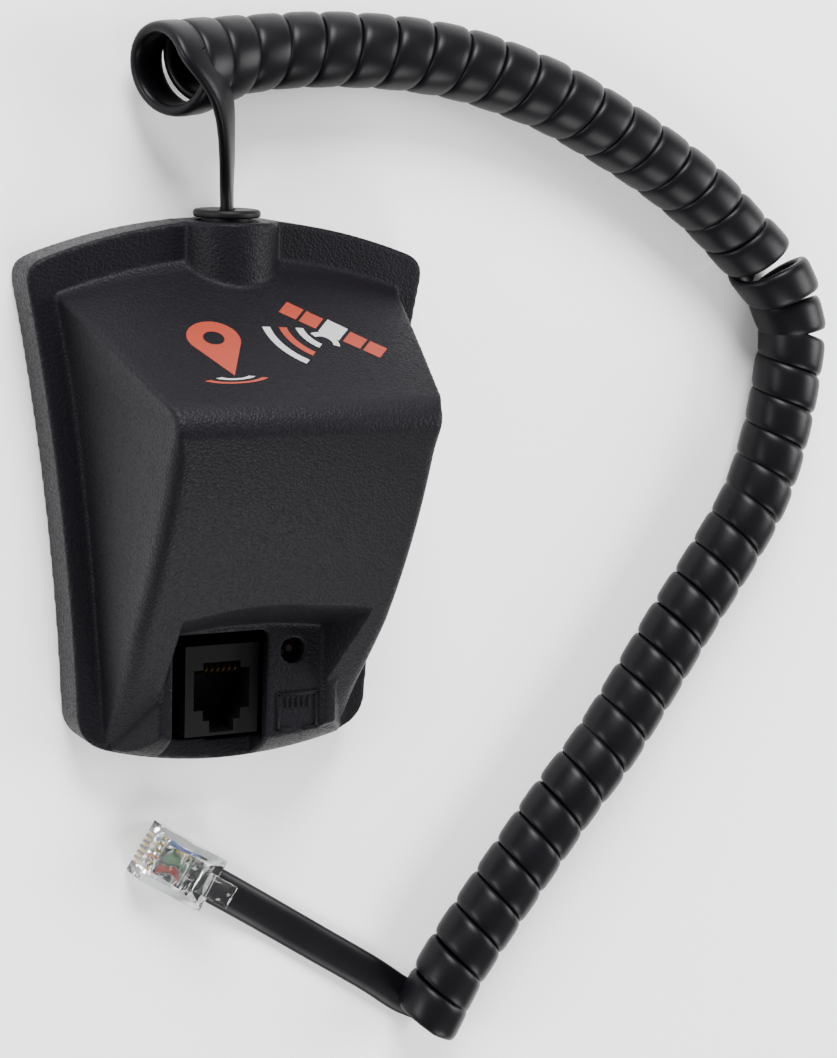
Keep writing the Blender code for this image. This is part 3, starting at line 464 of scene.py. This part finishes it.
def body_row(y, inside, low):
    """Upper line of one cross-section, from side to side: flank, rounded shoulder and crowned face."""
    top = max(body_height(y, inside), low + 0.0012)
    foot = half_width(y) - FOOT_MARGIN - inside
    spread = min(max((y - RIDGE_Y) / (VALLEY_Y - RIDGE_Y), 0.0), 1.0)
    edge = min(FACE_HALF + (VALLEY_HALF - FACE_HALF) * spread - inside, foot - 0.0004)
    base = min(FLANGE, top - 0.0008)
    sharpen = min(max((y - RIDGE_Y + SHARPENING) / SHARPENING, 0.0), 1.0)
    size = SHOULDER + (PRINT_SHOULDER - SHOULDER) * sharpen ** 2 * (3 - 2 * sharpen)
    shoulder = min(size, (top - base) * 0.45)
    half = []
    for step in range(18):
        q = step / 17
        half.append((foot + (edge - foot) * q, base + (top - shoulder - base) * q ** FLANK_CURVE))
    for step in range(1, 9):
        t = step / 8
        half.append((edge * (1 - t ** 2) + (edge - size) * t ** 2,
                     (top - shoulder) * (1 - t) ** 2 + top * (1 - (1 - t) ** 2)))
    half += [((edge - size) * (1 - step / 10), top + CROWN * (1 - (1 - step / 10) ** 2))
             for step in range(1, 10)]
    whole = half + [(0.0, top + CROWN)] + [(-x, z) for x, z in reversed(half)]
    bow = bowed_offset(y)
    return [Vector((x, y + bow * (1 - (x / foot) ** 2), z)) for x, z in whole]


def body_solid(name, inside, low):
    """Loft of the body's cross-sections from the bottom edge to the valley, down to a flat base."""
    first, last = BOTTOM_Y + 0.0003 + inside, VALLEY_Y + 0.0004 - 1.2 * inside
    bends = [RIDGE_Y + bend for bend in RIDGE_BENDS]
    stations = [first + (bends[0] - first) * step / 44 for step in range(44)]
    stations += [bends[0] + (bends[1] - bends[0]) * step / 24 for step in range(24)]
    stations += [bends[1] + (last - bends[1]) * step / 16 for step in range(17)]
    made = bmesh.new()
    upper, lower = [], []
    for y in stations:
        places = body_row(y, inside, low)
        upper.append([made.verts.new(place) for place in places])
        lower.append([made.verts.new((place.x, place.y, low)) for place in places])
    for rows in (upper, lower):
        for row, following in zip(rows, rows[1:]):
            for index in range(len(row) - 1):
                made.faces.new((row[index], row[index + 1], following[index + 1], following[index]))
    for end in (0, -1):
        for index in range(len(upper[end]) - 1):
            made.faces.new((upper[end][index], upper[end][index + 1],
                            lower[end][index + 1], lower[end][index]))
    for side in (0, -1):
        for index in range(len(upper) - 1):
            made.faces.new((upper[index][side], upper[index + 1][side],
                            lower[index + 1][side], lower[index][side]))
    return from_bmesh(made, name)


def ceiling(x, z):
    """The recess's top wall: an arc that leans back as it rises."""
    across = min(max(x / RECESS_RIGHT, -1.0), 1.0)
    return CEILING_Y + CEILING_RISE * (1 - across ** 2) + RECESS_FLARE * (z - PLATFORM_Z)


def recess_solid(name, grow):
    """The recess above the platform, whose top and right walls slope outwards."""
    rings = []
    for z in (PLATFORM_Z - grow, PAST_TOP):
        left = PLATFORM_LEFT - 0.0001 - grow
        right = RECESS_RIGHT + RECESS_FLARE * (z - PLATFORM_Z) + grow * SLOPE
        steps = [right + (left - right) * step / 40 for step in range(41)]
        outline = [(left, PAST_BOTTOM), (right, PAST_BOTTOM)]
        outline += [(x, ceiling(x, z) + grow * SLOPE) for x in steps]
        rings.append([(x, y, z) for x, y in outline])
    return rings_solid(name, rings)


def platform_solid(name):
    """The block that stands proud of the front face, with sloping sides and a slanted bottom end."""
    rings = []
    for step in range(10):
        z = PLATFORM_FOOT + (PLATFORM_Z - PLATFORM_FOOT) * step / 9
        rings.append((z, PLATFORM_SLANT * (step / 9) ** 1.6))
    rings = [(0.0058, 0.0), *rings, (PLATFORM_Z + 0.001, 0.0050)]
    loops = []
    for z, back in rings:
        lean = PLATFORM_DRAFT * max(PLATFORM_Z - z, 0.0)
        left, right = PLATFORM_LEFT - lean, PLATFORM_RIGHT + lean
        across = [left + (right - left) * step / 24 for step in range(25)]
        end = [(x, BOTTOM_Y - BOTTOM_RISE * (1 - (x / BOTTOM_HALF) ** 2) + 0.00045 + back)
               for x in across]
        outline = end + [(right, CEILING_Y - 0.004), (left, CEILING_Y - 0.004)]
        loops.append([(x, y, z) for x, y in outline])
    return rings_solid(name, loops)


def boss_solid(name, radius, low, high):
    """The boss that the grommet sits in: a half round on straight sides."""
    arc = [(radius * math.cos(math.pi * step / 40), BOSS_Z + radius * math.sin(math.pi * step / 40))
           for step in range(41)]
    outline = [(radius, 0.0012)] + arc + [(-radius, 0.0012)]
    return rings_solid(name, [[(x, y, z) for x, z in outline] for y in (low, high)])


def window_outline():
    """The jack's window, open at the bottom and with rounded top corners."""
    left, right = WINDOW
    arc = [math.radians(90 * step / 8) for step in range(9)]
    outline = [(left, PAST_BOTTOM), (right, PAST_BOTTOM)]
    outline += [(right - WINDOW_CORNER * (1 - math.cos(a)), WINDOW_TOP - WINDOW_CORNER * (1 - math.sin(a)))
                for a in arc]
    outline += [(left + WINDOW_CORNER * (1 - math.sin(a)), WINDOW_TOP - WINDOW_CORNER * (1 - math.cos(a)))
                for a in arc]
    return outline


def housing_shape():
    """The shell with sharp edges: its outer bodies, less the cavity and the openings, plus screw posts."""
    outline = flange_outline()
    shell = slab("housing_shell", outline, 0.0, FLANGE)
    boolean(shell, "UNION", body_solid("body", 0.0, 0.0070), platform_solid("platform"))
    boolean(shell, "DIFFERENCE", recess_solid("recess", 0.0))
    boolean(shell, "UNION", boss_solid("boss", BOSS_RADIUS, *BOSS_Y))
    cavity = slab("cavity", inset(outline, WALL), -0.001, FLANGE - WALL)
    hollow = body_solid("hollow", WALL, 0.0050)
    boolean(hollow, "DIFFERENCE", recess_solid("recess_wall", WALL))
    boolean(cavity, "UNION", hollow,
            box("platform_hollow", (PLATFORM_LEFT + 0.0021, -0.0411, 0.0043),
                (PLATFORM_RIGHT - 0.0023, CEILING_Y, PLATFORM_Z - WALL - 0.0003)))
    boolean(shell, "DIFFERENCE", cavity,
            rod("boss_hollow", (0, 0.0281, BOSS_Z), (0, 0.0413, BOSS_Z), BOSS_BORE),
            rod("grommet_hole", (0, 0.0350, BOSS_Z), (0, 0.0500, BOSS_Z), GROMMET_BORE),
            slab("window", window_outline(), WINDOW_SILL, 0.030),
            rod("led_hole", (*LED, 0.010), (*LED, 0.030), LED_HOLE))
    for x, y in SCREWS:
        boolean(shell, "UNION", rod("post", (x, y, 0.0025), (x, y, FLANGE - 0.001), POST_RADIUS))
        boolean(shell, "DIFFERENCE", rod("post_hole", (x, y, 0.0010), (x, y, 0.0074), POST_HOLE))
    return shell


def housing():
    """The moulded shell: a fine remesh and a little smoothing round every edge, then fewer triangles."""
    shell = housing_shape()
    remesh = shell.modifiers.new("remesh", "REMESH")
    remesh.mode, remesh.voxel_size = "VOXEL", VOXEL
    soften = shell.modifiers.new("soften", "SMOOTH")
    soften.factor, soften.iterations = 0.5, SOFTENING
    bake_modifiers(shell)
    lighten = shell.modifiers.new("lighten", "DECIMATE")
    lighten.ratio = min(SHELL_TRIANGLES / (2 * len(shell.data.polygons)), 1.0)
    bake_modifiers(shell)
    shell.data.shade_smooth()
    shell.data.materials.clear()
    shell.data.materials.append(HOUSING)
    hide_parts("front_housing")
    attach(shell, ROOT)
    return shell


SHELL = housing()


def surface_finder(obj):
    """A tree that finds where a line meets the object's surface."""
    made = bmesh.new()
    made.from_mesh(obj.data)
    tree = BVHTree.FromBMesh(made)
    made.free()
    return tree


# Print ------------------------------------------------------------------------------------------

PRINT_SLOPE = math.atan2(RIDGE_Z - FLANGE, VALLEY_Y - RIDGE_Y)
PRINT_NORMAL = Vector((0, math.sin(PRINT_SLOPE), math.cos(PRINT_SLOPE)))
PRINT_UP = Vector((0, math.cos(PRINT_SLOPE), -math.sin(PRINT_SLOPE)))
PRINT_MIDDLE = Vector((0, (RIDGE_Y + VALLEY_Y) / 2 + 0.0022, (RIDGE_Z + FLANGE) / 2))


def printed(name, outline, ink, finder, holes=()):
    """A flat outline on the print face, as a thin layer of ink that follows the surface."""
    curve = bpy.data.curves.new(name, "CURVE")
    curve.dimensions, curve.fill_mode = "2D", "BOTH"
    for loop in (outline, *holes):
        spline = curve.splines.new("POLY")
        spline.points.add(len(loop) - 1)
        for point, (x, y) in zip(spline.points, loop):
            point.co = (x, y, 0, 1)
        spline.use_cyclic_u = True
    holder = bpy.data.objects.new(name, curve)
    bpy.context.scene.collection.objects.link(holder)
    bpy.context.view_layer.update()
    mesh = bpy.data.meshes.new_from_object(holder.evaluated_get(bpy.context.evaluated_depsgraph_get()))
    bpy.data.objects.remove(holder, do_unlink=True)
    layer = bmesh.new()
    layer.from_mesh(mesh)
    bmesh.ops.triangulate(layer, faces=layer.faces)
    bmesh.ops.remove_doubles(layer, verts=layer.verts, dist=1e-7)
    for _round in range(5):
        long_edges = [edge for edge in layer.edges if edge.calc_length() > INK_EDGE]
        if long_edges:
            bmesh.ops.subdivide_edges(layer, edges=long_edges, cuts=1, use_grid_fill=False)
            bmesh.ops.triangulate(layer, faces=layer.faces)
    for vert in layer.verts:
        start = PRINT_MIDDLE + Vector((vert.co.x, 0, 0)) + PRINT_UP * vert.co.y + PRINT_NORMAL * 0.02
        hit = finder.ray_cast(start, -PRINT_NORMAL)
        vert.co = hit[0] + PRINT_NORMAL * INK_LIFT
    for face in layer.faces:
        face.normal_update()
    if sum(face.normal.dot(PRINT_NORMAL) for face in layer.faces) < 0:
        bmesh.ops.reverse_faces(layer, faces=layer.faces)
    layer.to_mesh(mesh)
    layer.free()
    obj = place_object(name, mesh, ink)
    mesh.shade_smooth()
    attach(obj, ROOT)
    return obj


def arc_band(centre, radius, width, start, end, steps=24):
    """A band along an arc, with its ends square."""
    angles = [math.radians(start + (end - start) * step / steps) for step in range(steps + 1)]
    outer = [(centre[0] + (radius + width / 2) * math.cos(a), centre[1] + (radius + width / 2) * math.sin(a))
             for a in angles]
    inner = [(centre[0] + (radius - width / 2) * math.cos(a), centre[1] + (radius - width / 2) * math.sin(a))
             for a in reversed(angles)]
    return outer + inner


def circle(centre, radius, steps=40):
    return [(centre[0] + radius * math.cos(2 * math.pi * step / steps),
             centre[1] + radius * math.sin(2 * math.pi * step / steps)) for step in range(steps)]


def turned(outline, centre, degrees):
    """The outline turned about its own zero, then moved to a centre."""
    a = math.radians(degrees)
    return [(centre[0] + x * math.cos(a) - y * math.sin(a), centre[1] + x * math.sin(a) + y * math.cos(a))
            for x, y in outline]


def rectangle(width, height, x=0.0, y=0.0):
    return [(x - width / 2, y - height / 2), (x + width / 2, y - height / 2),
            (x + width / 2, y + height / 2), (x - width / 2, y + height / 2)]


def pin_outline(centre, radius, steps=40):
    """A map pin: a round head that runs down to a point."""
    head = []
    for step in range(steps + 1):
        a = math.radians(-30 + 240 * step / steps)
        head.append((centre[0] + radius * math.cos(a), centre[1] + radius * math.sin(a)))
    return head + [(centre[0], centre[1] - radius * 2.3)]


def printing(finder):
    """A generic receiver pictogram: a satellite sends signal arcs down to a map pin on the ground."""
    printed("print_pin", pin_outline(PIN, PIN_RADIUS), RED_INK, finder, holes=(circle(PIN, 0.0017)[::-1],))
    for index, (radius, ink) in enumerate(((0.0030, WHITE_INK), (0.0052, RED_INK))):
        ground = [(x, y * 0.34) for x, y in arc_band((0, 0), radius, 0.0012, 205, 335)]
        ground = [(x + PIN[0], y + PIN[1] - 0.0098 - index * 0.0002) for x, y in ground]
        printed(f"print_ground_{index + 1}", ground, ink, finder)
    for index, radius in enumerate((0.0058, 0.0086, 0.0114)):
        printed(f"print_signal_{index + 1}", arc_band(SATELLITE, radius, 0.0013, 176, 228),
                RED_INK if index == 1 else WHITE_INK, finder)
    hull = turned(rectangle(0.0036, 0.0044), SATELLITE, SATELLITE_TURN)
    printed("print_satellite", hull, WHITE_INK, finder)
    dish = turned(arc_band((0, -0.0046), 0.0022, 0.0011, 20, 160), SATELLITE, SATELLITE_TURN)
    printed("print_dish", dish, WHITE_INK, finder)
    for sign in (-1, 1):
        for part in (0, 1):
            panel = rectangle(0.0030, 0.0036, sign * (0.0039 + part * 0.0035), 0.0)
            panel = turned(panel, SATELLITE, SATELLITE_TURN)
            printed(f"print_panel_{sign + 1}_{part}", panel, RED_INK, finder)


printing(surface_finder(SHELL))


# Cord -------------------------------------------------------------------------------------------

def ribbon_section(steps=20):
    """Section of the flat lead: a rounded bar, slightly swollen, as points across and through it."""
    half_wide, half_thick = RIBBON[0] / 2, RIBBON[1] / 2
    points = []
    for step in range(steps):
        a = 2 * math.pi * step / steps
        x = math.copysign(abs(math.cos(a)) ** 0.55, math.cos(a)) * half_wide
        y = math.copysign(abs(math.sin(a)) ** 0.75, math.sin(a)) * half_thick
        points.append((x, y))
    return points


def spread_along(fine):
    """Running length at each fine point."""
    lengths = [0.0]
    for a, b in zip(fine, fine[1:]):
        lengths.append(lengths[-1] + (b - a).length)
    return lengths


def coil_route():
    """Places and outward normals along the lead's turns: left handed, and wider at the module's end."""
    axis = catmull(COIL_ROUTE, 24)
    lengths = np.array(spread_along(axis))
    coords = np.array([tuple(place) for place in axis])
    total = lengths[-1]

    def on_axis(s):
        place = Vector([np.interp(s, lengths, coords[:, k]) for k in range(3)])
        ahead = Vector([np.interp(min(s + 0.002, total), lengths, coords[:, k]) for k in range(3)])
        behind = Vector([np.interp(max(s - 0.002, 0.0), lengths, coords[:, k]) for k in range(3)])
        return place, (ahead - behind).normalized()

    kink = lengths[np.argmin(np.hypot(coords[:, 0] - KINK[0], coords[:, 1] - KINK[1]))]
    turns = round(total / PITCH)
    steps = turns * TURN_STEPS
    even = np.arange(steps + TURN_STEPS // 2 + 1) / steps * total
    spacing = 1 + KINK_OPENING * np.exp(-((even - kink) / OPENING_LENGTH) ** 2)
    spacing -= RING_CLOSING * np.exp(-(even / CLOSING_LENGTH) ** 2)
    walked = np.cumsum(spacing)
    walked = (walked - walked[0]) / (walked[steps] - walked[0]) * total
    coil = []
    for step in range(round(START_TURN * TURN_STEPS), len(even)):
        angle = 2 * math.pi * step / TURN_STEPS
        s = min(walked[step], total)
        centre, along = on_axis(s)
        lean = max(1 - s / RING_LENGTH, 0.0)
        along = along.lerp(RING_AXIS, lean * lean * (3 - 2 * lean)).normalized()
        side = Vector((0, 0, 1)).cross(along).normalized()
        up = along.cross(side)
        opening = max(1 - step / TURN_STEPS / RING_TURNS, 0.0)
        radius = COIL_RADIUS + (END_RING_RADIUS - COIL_RADIUS) * opening ** 1.3
        bulge = KINK_BULGE * math.exp(-((s - kink) / BULGE_LENGTH) ** 2)
        radius += bulge
        centre.z += bulge
        outward = up * math.cos(angle) + side * math.sin(angle)
        coil.append((centre + outward * radius, outward))
    return coil


def lead_in(coil):
    """From the grommet up to the top of the first turn, twisting a quarter turn on the way."""
    start = coil[0][0]
    fine = catmull((*LEAD_IN_ROUTE, start, coil[4][0]), 12)[:-12]
    count = len(fine) - 1
    slot = Vector((math.cos(LEAD_TILT), 0, -math.sin(LEAD_TILT)))
    made = []
    for index, place in enumerate(fine[:-1]):
        t = min(max((index / count - TWIST_START) / TWIST_LENGTH, 0.0), 1.0)
        made.append((place, slot.slerp(coil[0][1], t * t * (3 - 2 * t))))
    return made


def lead_out(coil):
    """From under the last turn along the surface and into the plug."""
    place = coil[-1][0]
    along = (place - coil[-2][0]).normalized()
    turn = Matrix.Rotation(PLUG_TURN, 3, "Z")
    rear = Vector((*PLUG_FRONT, PLUG_BASE)) + turn @ Vector((LEAD_END, 0, LEAD_HEIGHT))
    mouth = Vector((*PLUG_FRONT, PLUG_BASE)) + turn @ Vector((PLUG_MOUTH, 0, LEAD_HEIGHT))
    flat = RIBBON[1] / 2 + 0.0001
    middle = [place.lerp(mouth, part) for part in (0.25, 0.5, 0.75)]
    route = [coil[-4][0], place, place + along * 0.004]
    route += [Vector((point.x, point.y, flat)) for point in middle]
    route += [Vector((mouth.x, mouth.y, mouth.z - 0.0004)), rear]
    fine = catmull(route, 12)[13:]
    return [(point, Vector((0, 0, -1))) for point in fine]


def sweep(name, route, surface):
    """The flat lead's section along the route, its flat side square to each place's normal."""
    section = ribbon_section()
    rings = []
    for index, (place, normal) in enumerate(route):
        before, after = route[max(index - 1, 0)][0], route[min(index + 1, len(route) - 1)][0]
        along = (after - before).normalized()
        across = normal.cross(along).normalized()
        flat = along.cross(across).normalized()
        rings.append([place + across * x + flat * y for x, y in section])
    return rings_solid(name, rings, surface, 60)


def coiled_lead():
    """The whole lead as one piece, with its path and its length."""
    coil = coil_route()
    route = lead_in(coil) + coil + lead_out(coil)
    lead = sweep("coiled_lead", route, PVC)
    path = [tuple(place) for place, _normal in route]
    length = spread_along([place for place, _normal in route])[-1]
    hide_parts("cord_lead_in", "cord_coil", "cord_lead_out")
    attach(lead, ROOT)
    return lead, path, length


LEAD, LEAD_PATH, LEAD_LENGTH = coiled_lead()


# Grommet ----------------------------------------------------------------------------------------

def lathe(name, profile, surface, steps=64):
    """Turns a profile of (radius, height) about Z."""
    rings = []
    for radius, height in profile:
        rings.append([(x, y, height) for x, y in circle((0, 0), radius, steps)])
    return rings_solid(name, rings, surface, 50)


def grommet():
    """A rubber bush with a rounded head in the boss, and a slot that the lead goes through."""
    hole, neck, inner_lip = 0.0030, 0.0042, 0.0053
    upper, upper_radius, lower, lower_radius = 0.0006, 0.0049, 0.0004, 0.0051
    profile = [(hole, GROMMET_FACE - 0.00012), (0.0046, GROMMET_FACE - 0.00002)]
    for step in range(9):
        a = math.pi / 2 * (1 - step / 8)
        profile.append((upper_radius + upper * math.cos(a), GROMMET_FACE - upper + upper * math.sin(a)))
    for step in range(1, 7):
        a = -math.pi / 2 * step / 6
        profile.append((lower_radius + lower * math.cos(a), 0.0447 + lower * math.sin(a)))
    profile += [(neck, 0.0443), (neck, 0.0410), (inner_lip, 0.0409), (inner_lip, 0.0393), (hole, 0.0391)]
    bush = lathe("lead_grommet", profile, RUBBER)
    bush.data.transform(Matrix.Translation((0, 0, BOSS_Z)) @ Matrix.Rotation(math.radians(-90), 4, "X"))
    thick, wide = RIBBON[1] / 2 + 0.00015, RIBBON[0] / 2 + 0.00015
    slot = box("slot", (-thick, 0.03, -wide), (thick, 0.06, wide))
    slot.data.transform(Matrix.Translation((0, 0, BOSS_Z)) @ Matrix.Rotation(LEAD_TILT, 4, "Y"))
    boolean(bush, "DIFFERENCE", slot)
    bush.data.shade_smooth()
    bush.data.set_sharp_from_angle(angle=math.radians(45))
    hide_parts("cable_grommet")
    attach(bush, ROOT)


grommet()


# Plug -------------------------------------------------------------------------------------------

PLUG_PLACE = Matrix.Translation((*PLUG_FRONT, PLUG_BASE)) @ Matrix.Rotation(PLUG_TURN, 4, "Z")


def at_plug(obj, body=ROOT):
    """Moves a piece from the plug's own place to where the plug lies."""
    obj.data.transform(PLUG_PLACE)
    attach(obj, body)
    return obj


def across_plug(index, pitch):
    """Place across the plug of one of its contacts or conductors."""
    return (index - (CONTACTS - 1) / 2) * pitch


def plug_shell():
    """The clear body: a block with a step, hollow for the lead and its conductors, slotted for the blades."""
    length, width, height = PLUG_SIZE
    half, top = width / 2, height - 0.0008
    body = box("plug_shell", (0, -half, 0), (length, half, top))
    step = box("step", (0.0, -half + 0.0013, top - 0.0006), (0.0095, half - 0.0013, top + 0.0001))
    boolean(body, "UNION", step)
    boolean(body, "DIFFERENCE",
            box("socket", (0.0068, -0.0036, 0.0014), (0.020, 0.0036, 0.0044)),
            box("wires", (0.0025, -0.0034, 0.0020), (0.0070, 0.0034, 0.0037)),
            box("crimp_well", (0.0078, -0.0027, 0.0040), (0.0100, 0.0027, 0.0090)))
    for index in range(CONTACTS):
        y = across_plug(index, CONTACT_PITCH)
        slot = box("slot", (-0.001, y - 0.00028, -0.001), (0.0031, y + 0.00028, 0.0028))
        boolean(body, "DIFFERENCE", slot)
    rounded(body, 0.00016)
    body.data.materials.append(CLEAR)
    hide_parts("plug_body")
    return at_plug(body)


def crimp_bar():
    bar = rounded(box("crimp_bar", (0.0079, -0.0026, 0.0044), (0.0099, 0.0026, 0.0050)), 0.00012)
    bar.data.materials.append(CLEAR)
    return at_plug(bar)


def plug_blade(index):
    y = across_plug(index, CONTACT_PITCH)
    blade = box(f"plug_blade_{index + 1}", (0.0002, y - 0.00016, 0.0003), (0.0028, y + 0.00016, 0.0026))
    rounded(blade, 0.00008)
    blade.data.materials.append(GOLD)
    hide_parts(f"plug_contact_{index + 1}")
    return at_plug(blade)


def plug_wire(index):
    """One round conductor from the lead's end to its blade."""
    rear, front = across_plug(index, WIRE_PITCH), across_plug(index, CONTACT_PITCH)
    fine = catmull([(0.0092, rear, LEAD_HEIGHT), (0.0072, rear, LEAD_HEIGHT),
                    (0.0050, front, LEAD_HEIGHT), (0.0027, front, LEAD_HEIGHT)], 6)
    rings = []
    for step, place in enumerate(fine):
        before, after = fine[max(step - 1, 0)], fine[min(step + 1, len(fine) - 1)]
        along = (after - before).normalized()
        across = Vector((0, 0, 1)).cross(along).normalized()
        up = along.cross(across)
        rings.append([place + (across * x + up * y) * WIRE_RADIUS for x, y in circle((0, 0), 1.0, 16)])
    color = plain(f"wire_look_{index + 1}", WIRE_COLORS[index], 0.35)
    wire = at_plug(rings_solid(f"plug_wire_{index + 1}", rings, color, 60))
    if index == 0:
        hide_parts("plug_conductors")
    return wire


def plug():
    made = [plug_shell(), crimp_bar()]
    for index in range(CONTACTS):
        made += [plug_blade(index), plug_wire(index)]
    return made


def latch():
    """The plug's tongue: a wide root with a catch, and a narrower tab, bent up from the plug."""
    height = PLUG_SIZE[2]
    upper = ((0.0010, 0.0004, 0.0026), (0.0040, 0.0008, 0.0028), (0.0070, 0.0013, 0.0030),
             (0.0082, 0.0016, 0.0029), (0.0086, 0.0017, 0.0021), (0.0120, 0.0026, 0.0020),
             (0.0150, 0.0034, 0.0020))
    thickness = 0.0009
    rings = []
    for x, z, half in upper:
        rings.append([(x, -half, height + z), (x, half, height + z),
                      (x, half, height + z - thickness), (x, -half, height + z - thickness)])
    tongue = rings_solid("latch_tongue", rings)
    catch = box("catch", (0.0064, -0.0030, height + 0.0004), (0.0080, 0.0030, height + 0.0012))
    boolean(tongue, "UNION", catch)
    rounded(tongue, 0.00014)
    tongue.data.materials.append(CLEAR)
    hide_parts("plug_latch")
    return at_plug(tongue, "latch")


PLUG_PIECES = plug() + [latch()]


# Port symbol ------------------------------------------------------------------------------------

def port_symbol():
    """Raised generic symbol beside the jack: a socket outline with its contact ticks."""
    bars = [rectangle(0.0074, 0.0006, 0, 0.0030), rectangle(0.0006, 0.0062, -0.0034, 0),
            rectangle(0.0006, 0.0062, 0.0034, 0), rectangle(0.0026, 0.0006, -0.0024, -0.0030),
            rectangle(0.0026, 0.0006, 0.0024, -0.0030)]
    bars += [rectangle(0.0004, 0.0016, -0.0020 + 0.0010 * index, 0.0014) for index in range(5)]
    for index, bar in enumerate(bars):
        outline = [(x + PORT_MIDDLE[0], y + PORT_MIDDLE[1]) for x, y in bar]
        raised = slab(f"port_symbol_{index + 1}", outline, PLATFORM_Z - PORT_DEPTH, PLATFORM_Z + PORT_HEIGHT)
        rounded(raised, 0.00010)
        raised.data.materials.append(HOUSING)
        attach(raised, ROOT)


port_symbol()


# CAD nodes that stay ----------------------------------------------------------------------------

def numbered(stem, count):
    return [f"{stem}_{index + 1}" for index in range(count)]


def finish_nodes(names, surface, bevel=0.0):
    """Gives CAD nodes their material and, where a bevel is wanted, slightly rounded edges."""
    for name in names:
        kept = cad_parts[name]
        for slot in kept.material_slots:
            slot.material = surface
        if bevel:
            edge = kept.modifiers.new("rounded", "BEVEL")
            edge.width, edge.segments = bevel, 2
            edge.limit_method, edge.angle_limit = "ANGLE", math.radians(35)


finish_nodes(["rear_cover"], COVER, 0.0002)
finish_nodes(["jack_housing"], JACK, 0.00015)
finish_nodes([*numbered("jack_contact", CONTACTS), "antenna_pin"], DULL_GOLD)
finish_nodes([*numbered("case_screw", 4), *numbered("board_screw", 4)], STEEL, 0.0001)
finish_nodes(["backup_cell"], STEEL, 0.0002)
finish_nodes(["antenna_element", "receiver_shield", "crystal", *numbered("capacitor", 4)], TIN, 0.00008)
finish_nodes(["main_board"], BOARD, 0.0001)
finish_nodes(["patch_antenna"], CERAMIC, 0.0002)
finish_nodes(["microcontroller", "voltage_regulator", "cell_holder", "led_spacer"], EPOXY, 0.0001)
finish_nodes(["board_header", "lead_connector"], NYLON, 0.0001)
finish_nodes(["status_led"], LAMP, 0.0002)
finish_nodes(["rating_label"], LABEL, 0.00003)
finish_nodes(["inner_lead"], PVC)


# Stage ------------------------------------------------------------------------------------------

def stage():
    """White paper under the object, a soft white surround and four round lamps."""
    made = bmesh.new()
    bmesh.ops.create_grid(made, x_segments=1, y_segments=1, size=3.0)
    floor = from_bmesh(made, "floor")
    floor.location.z = -0.0001
    surface, _tree, shader = new_material("floor_paper")
    shader.inputs["Base Color"].default_value = (0.97, 0.97, 0.97, 1)
    shader.inputs["Roughness"].default_value = 0.9
    shader.inputs["Specular IOR Level"].default_value = 0.1
    floor.data.materials.append(surface)
    world = bpy.data.worlds.new("studio")
    world.use_nodes = True
    back = world.node_tree.nodes["Background"]
    back.inputs["Color"].default_value = (1, 1, 1, 1)
    back.inputs["Strength"].default_value = 0.40
    bpy.context.scene.world = world
    lamps = (("top", (-0.10, 0.95, 0.62), (0.02, 0.0, 0.02), 0.60, 36.0),
             ("bottom", (0.25, -0.95, 0.60), (0.03, -0.02, 0.0), 0.60, 13.0),
             ("right", (1.00, 0.05, 0.55), (0.04, 0.0, 0.0), 0.60, 16.0),
             ("left", (-0.95, 0.10, 0.35), (0.0, 0.0, 0.0), 0.45, 9.0))
    for name, place, target, size, power in lamps:
        light = bpy.data.lights.new(name, "AREA")
        light.shape, light.size, light.energy = "DISK", size, power
        lamp = bpy.data.objects.new(name, light)
        lamp.location = place
        lamp.rotation_mode = "QUATERNION"
        lamp.rotation_quaternion = (Vector(target) - Vector(place)).to_track_quat("-Z", "Y")
        bpy.context.scene.collection.objects.link(lamp)


stage()
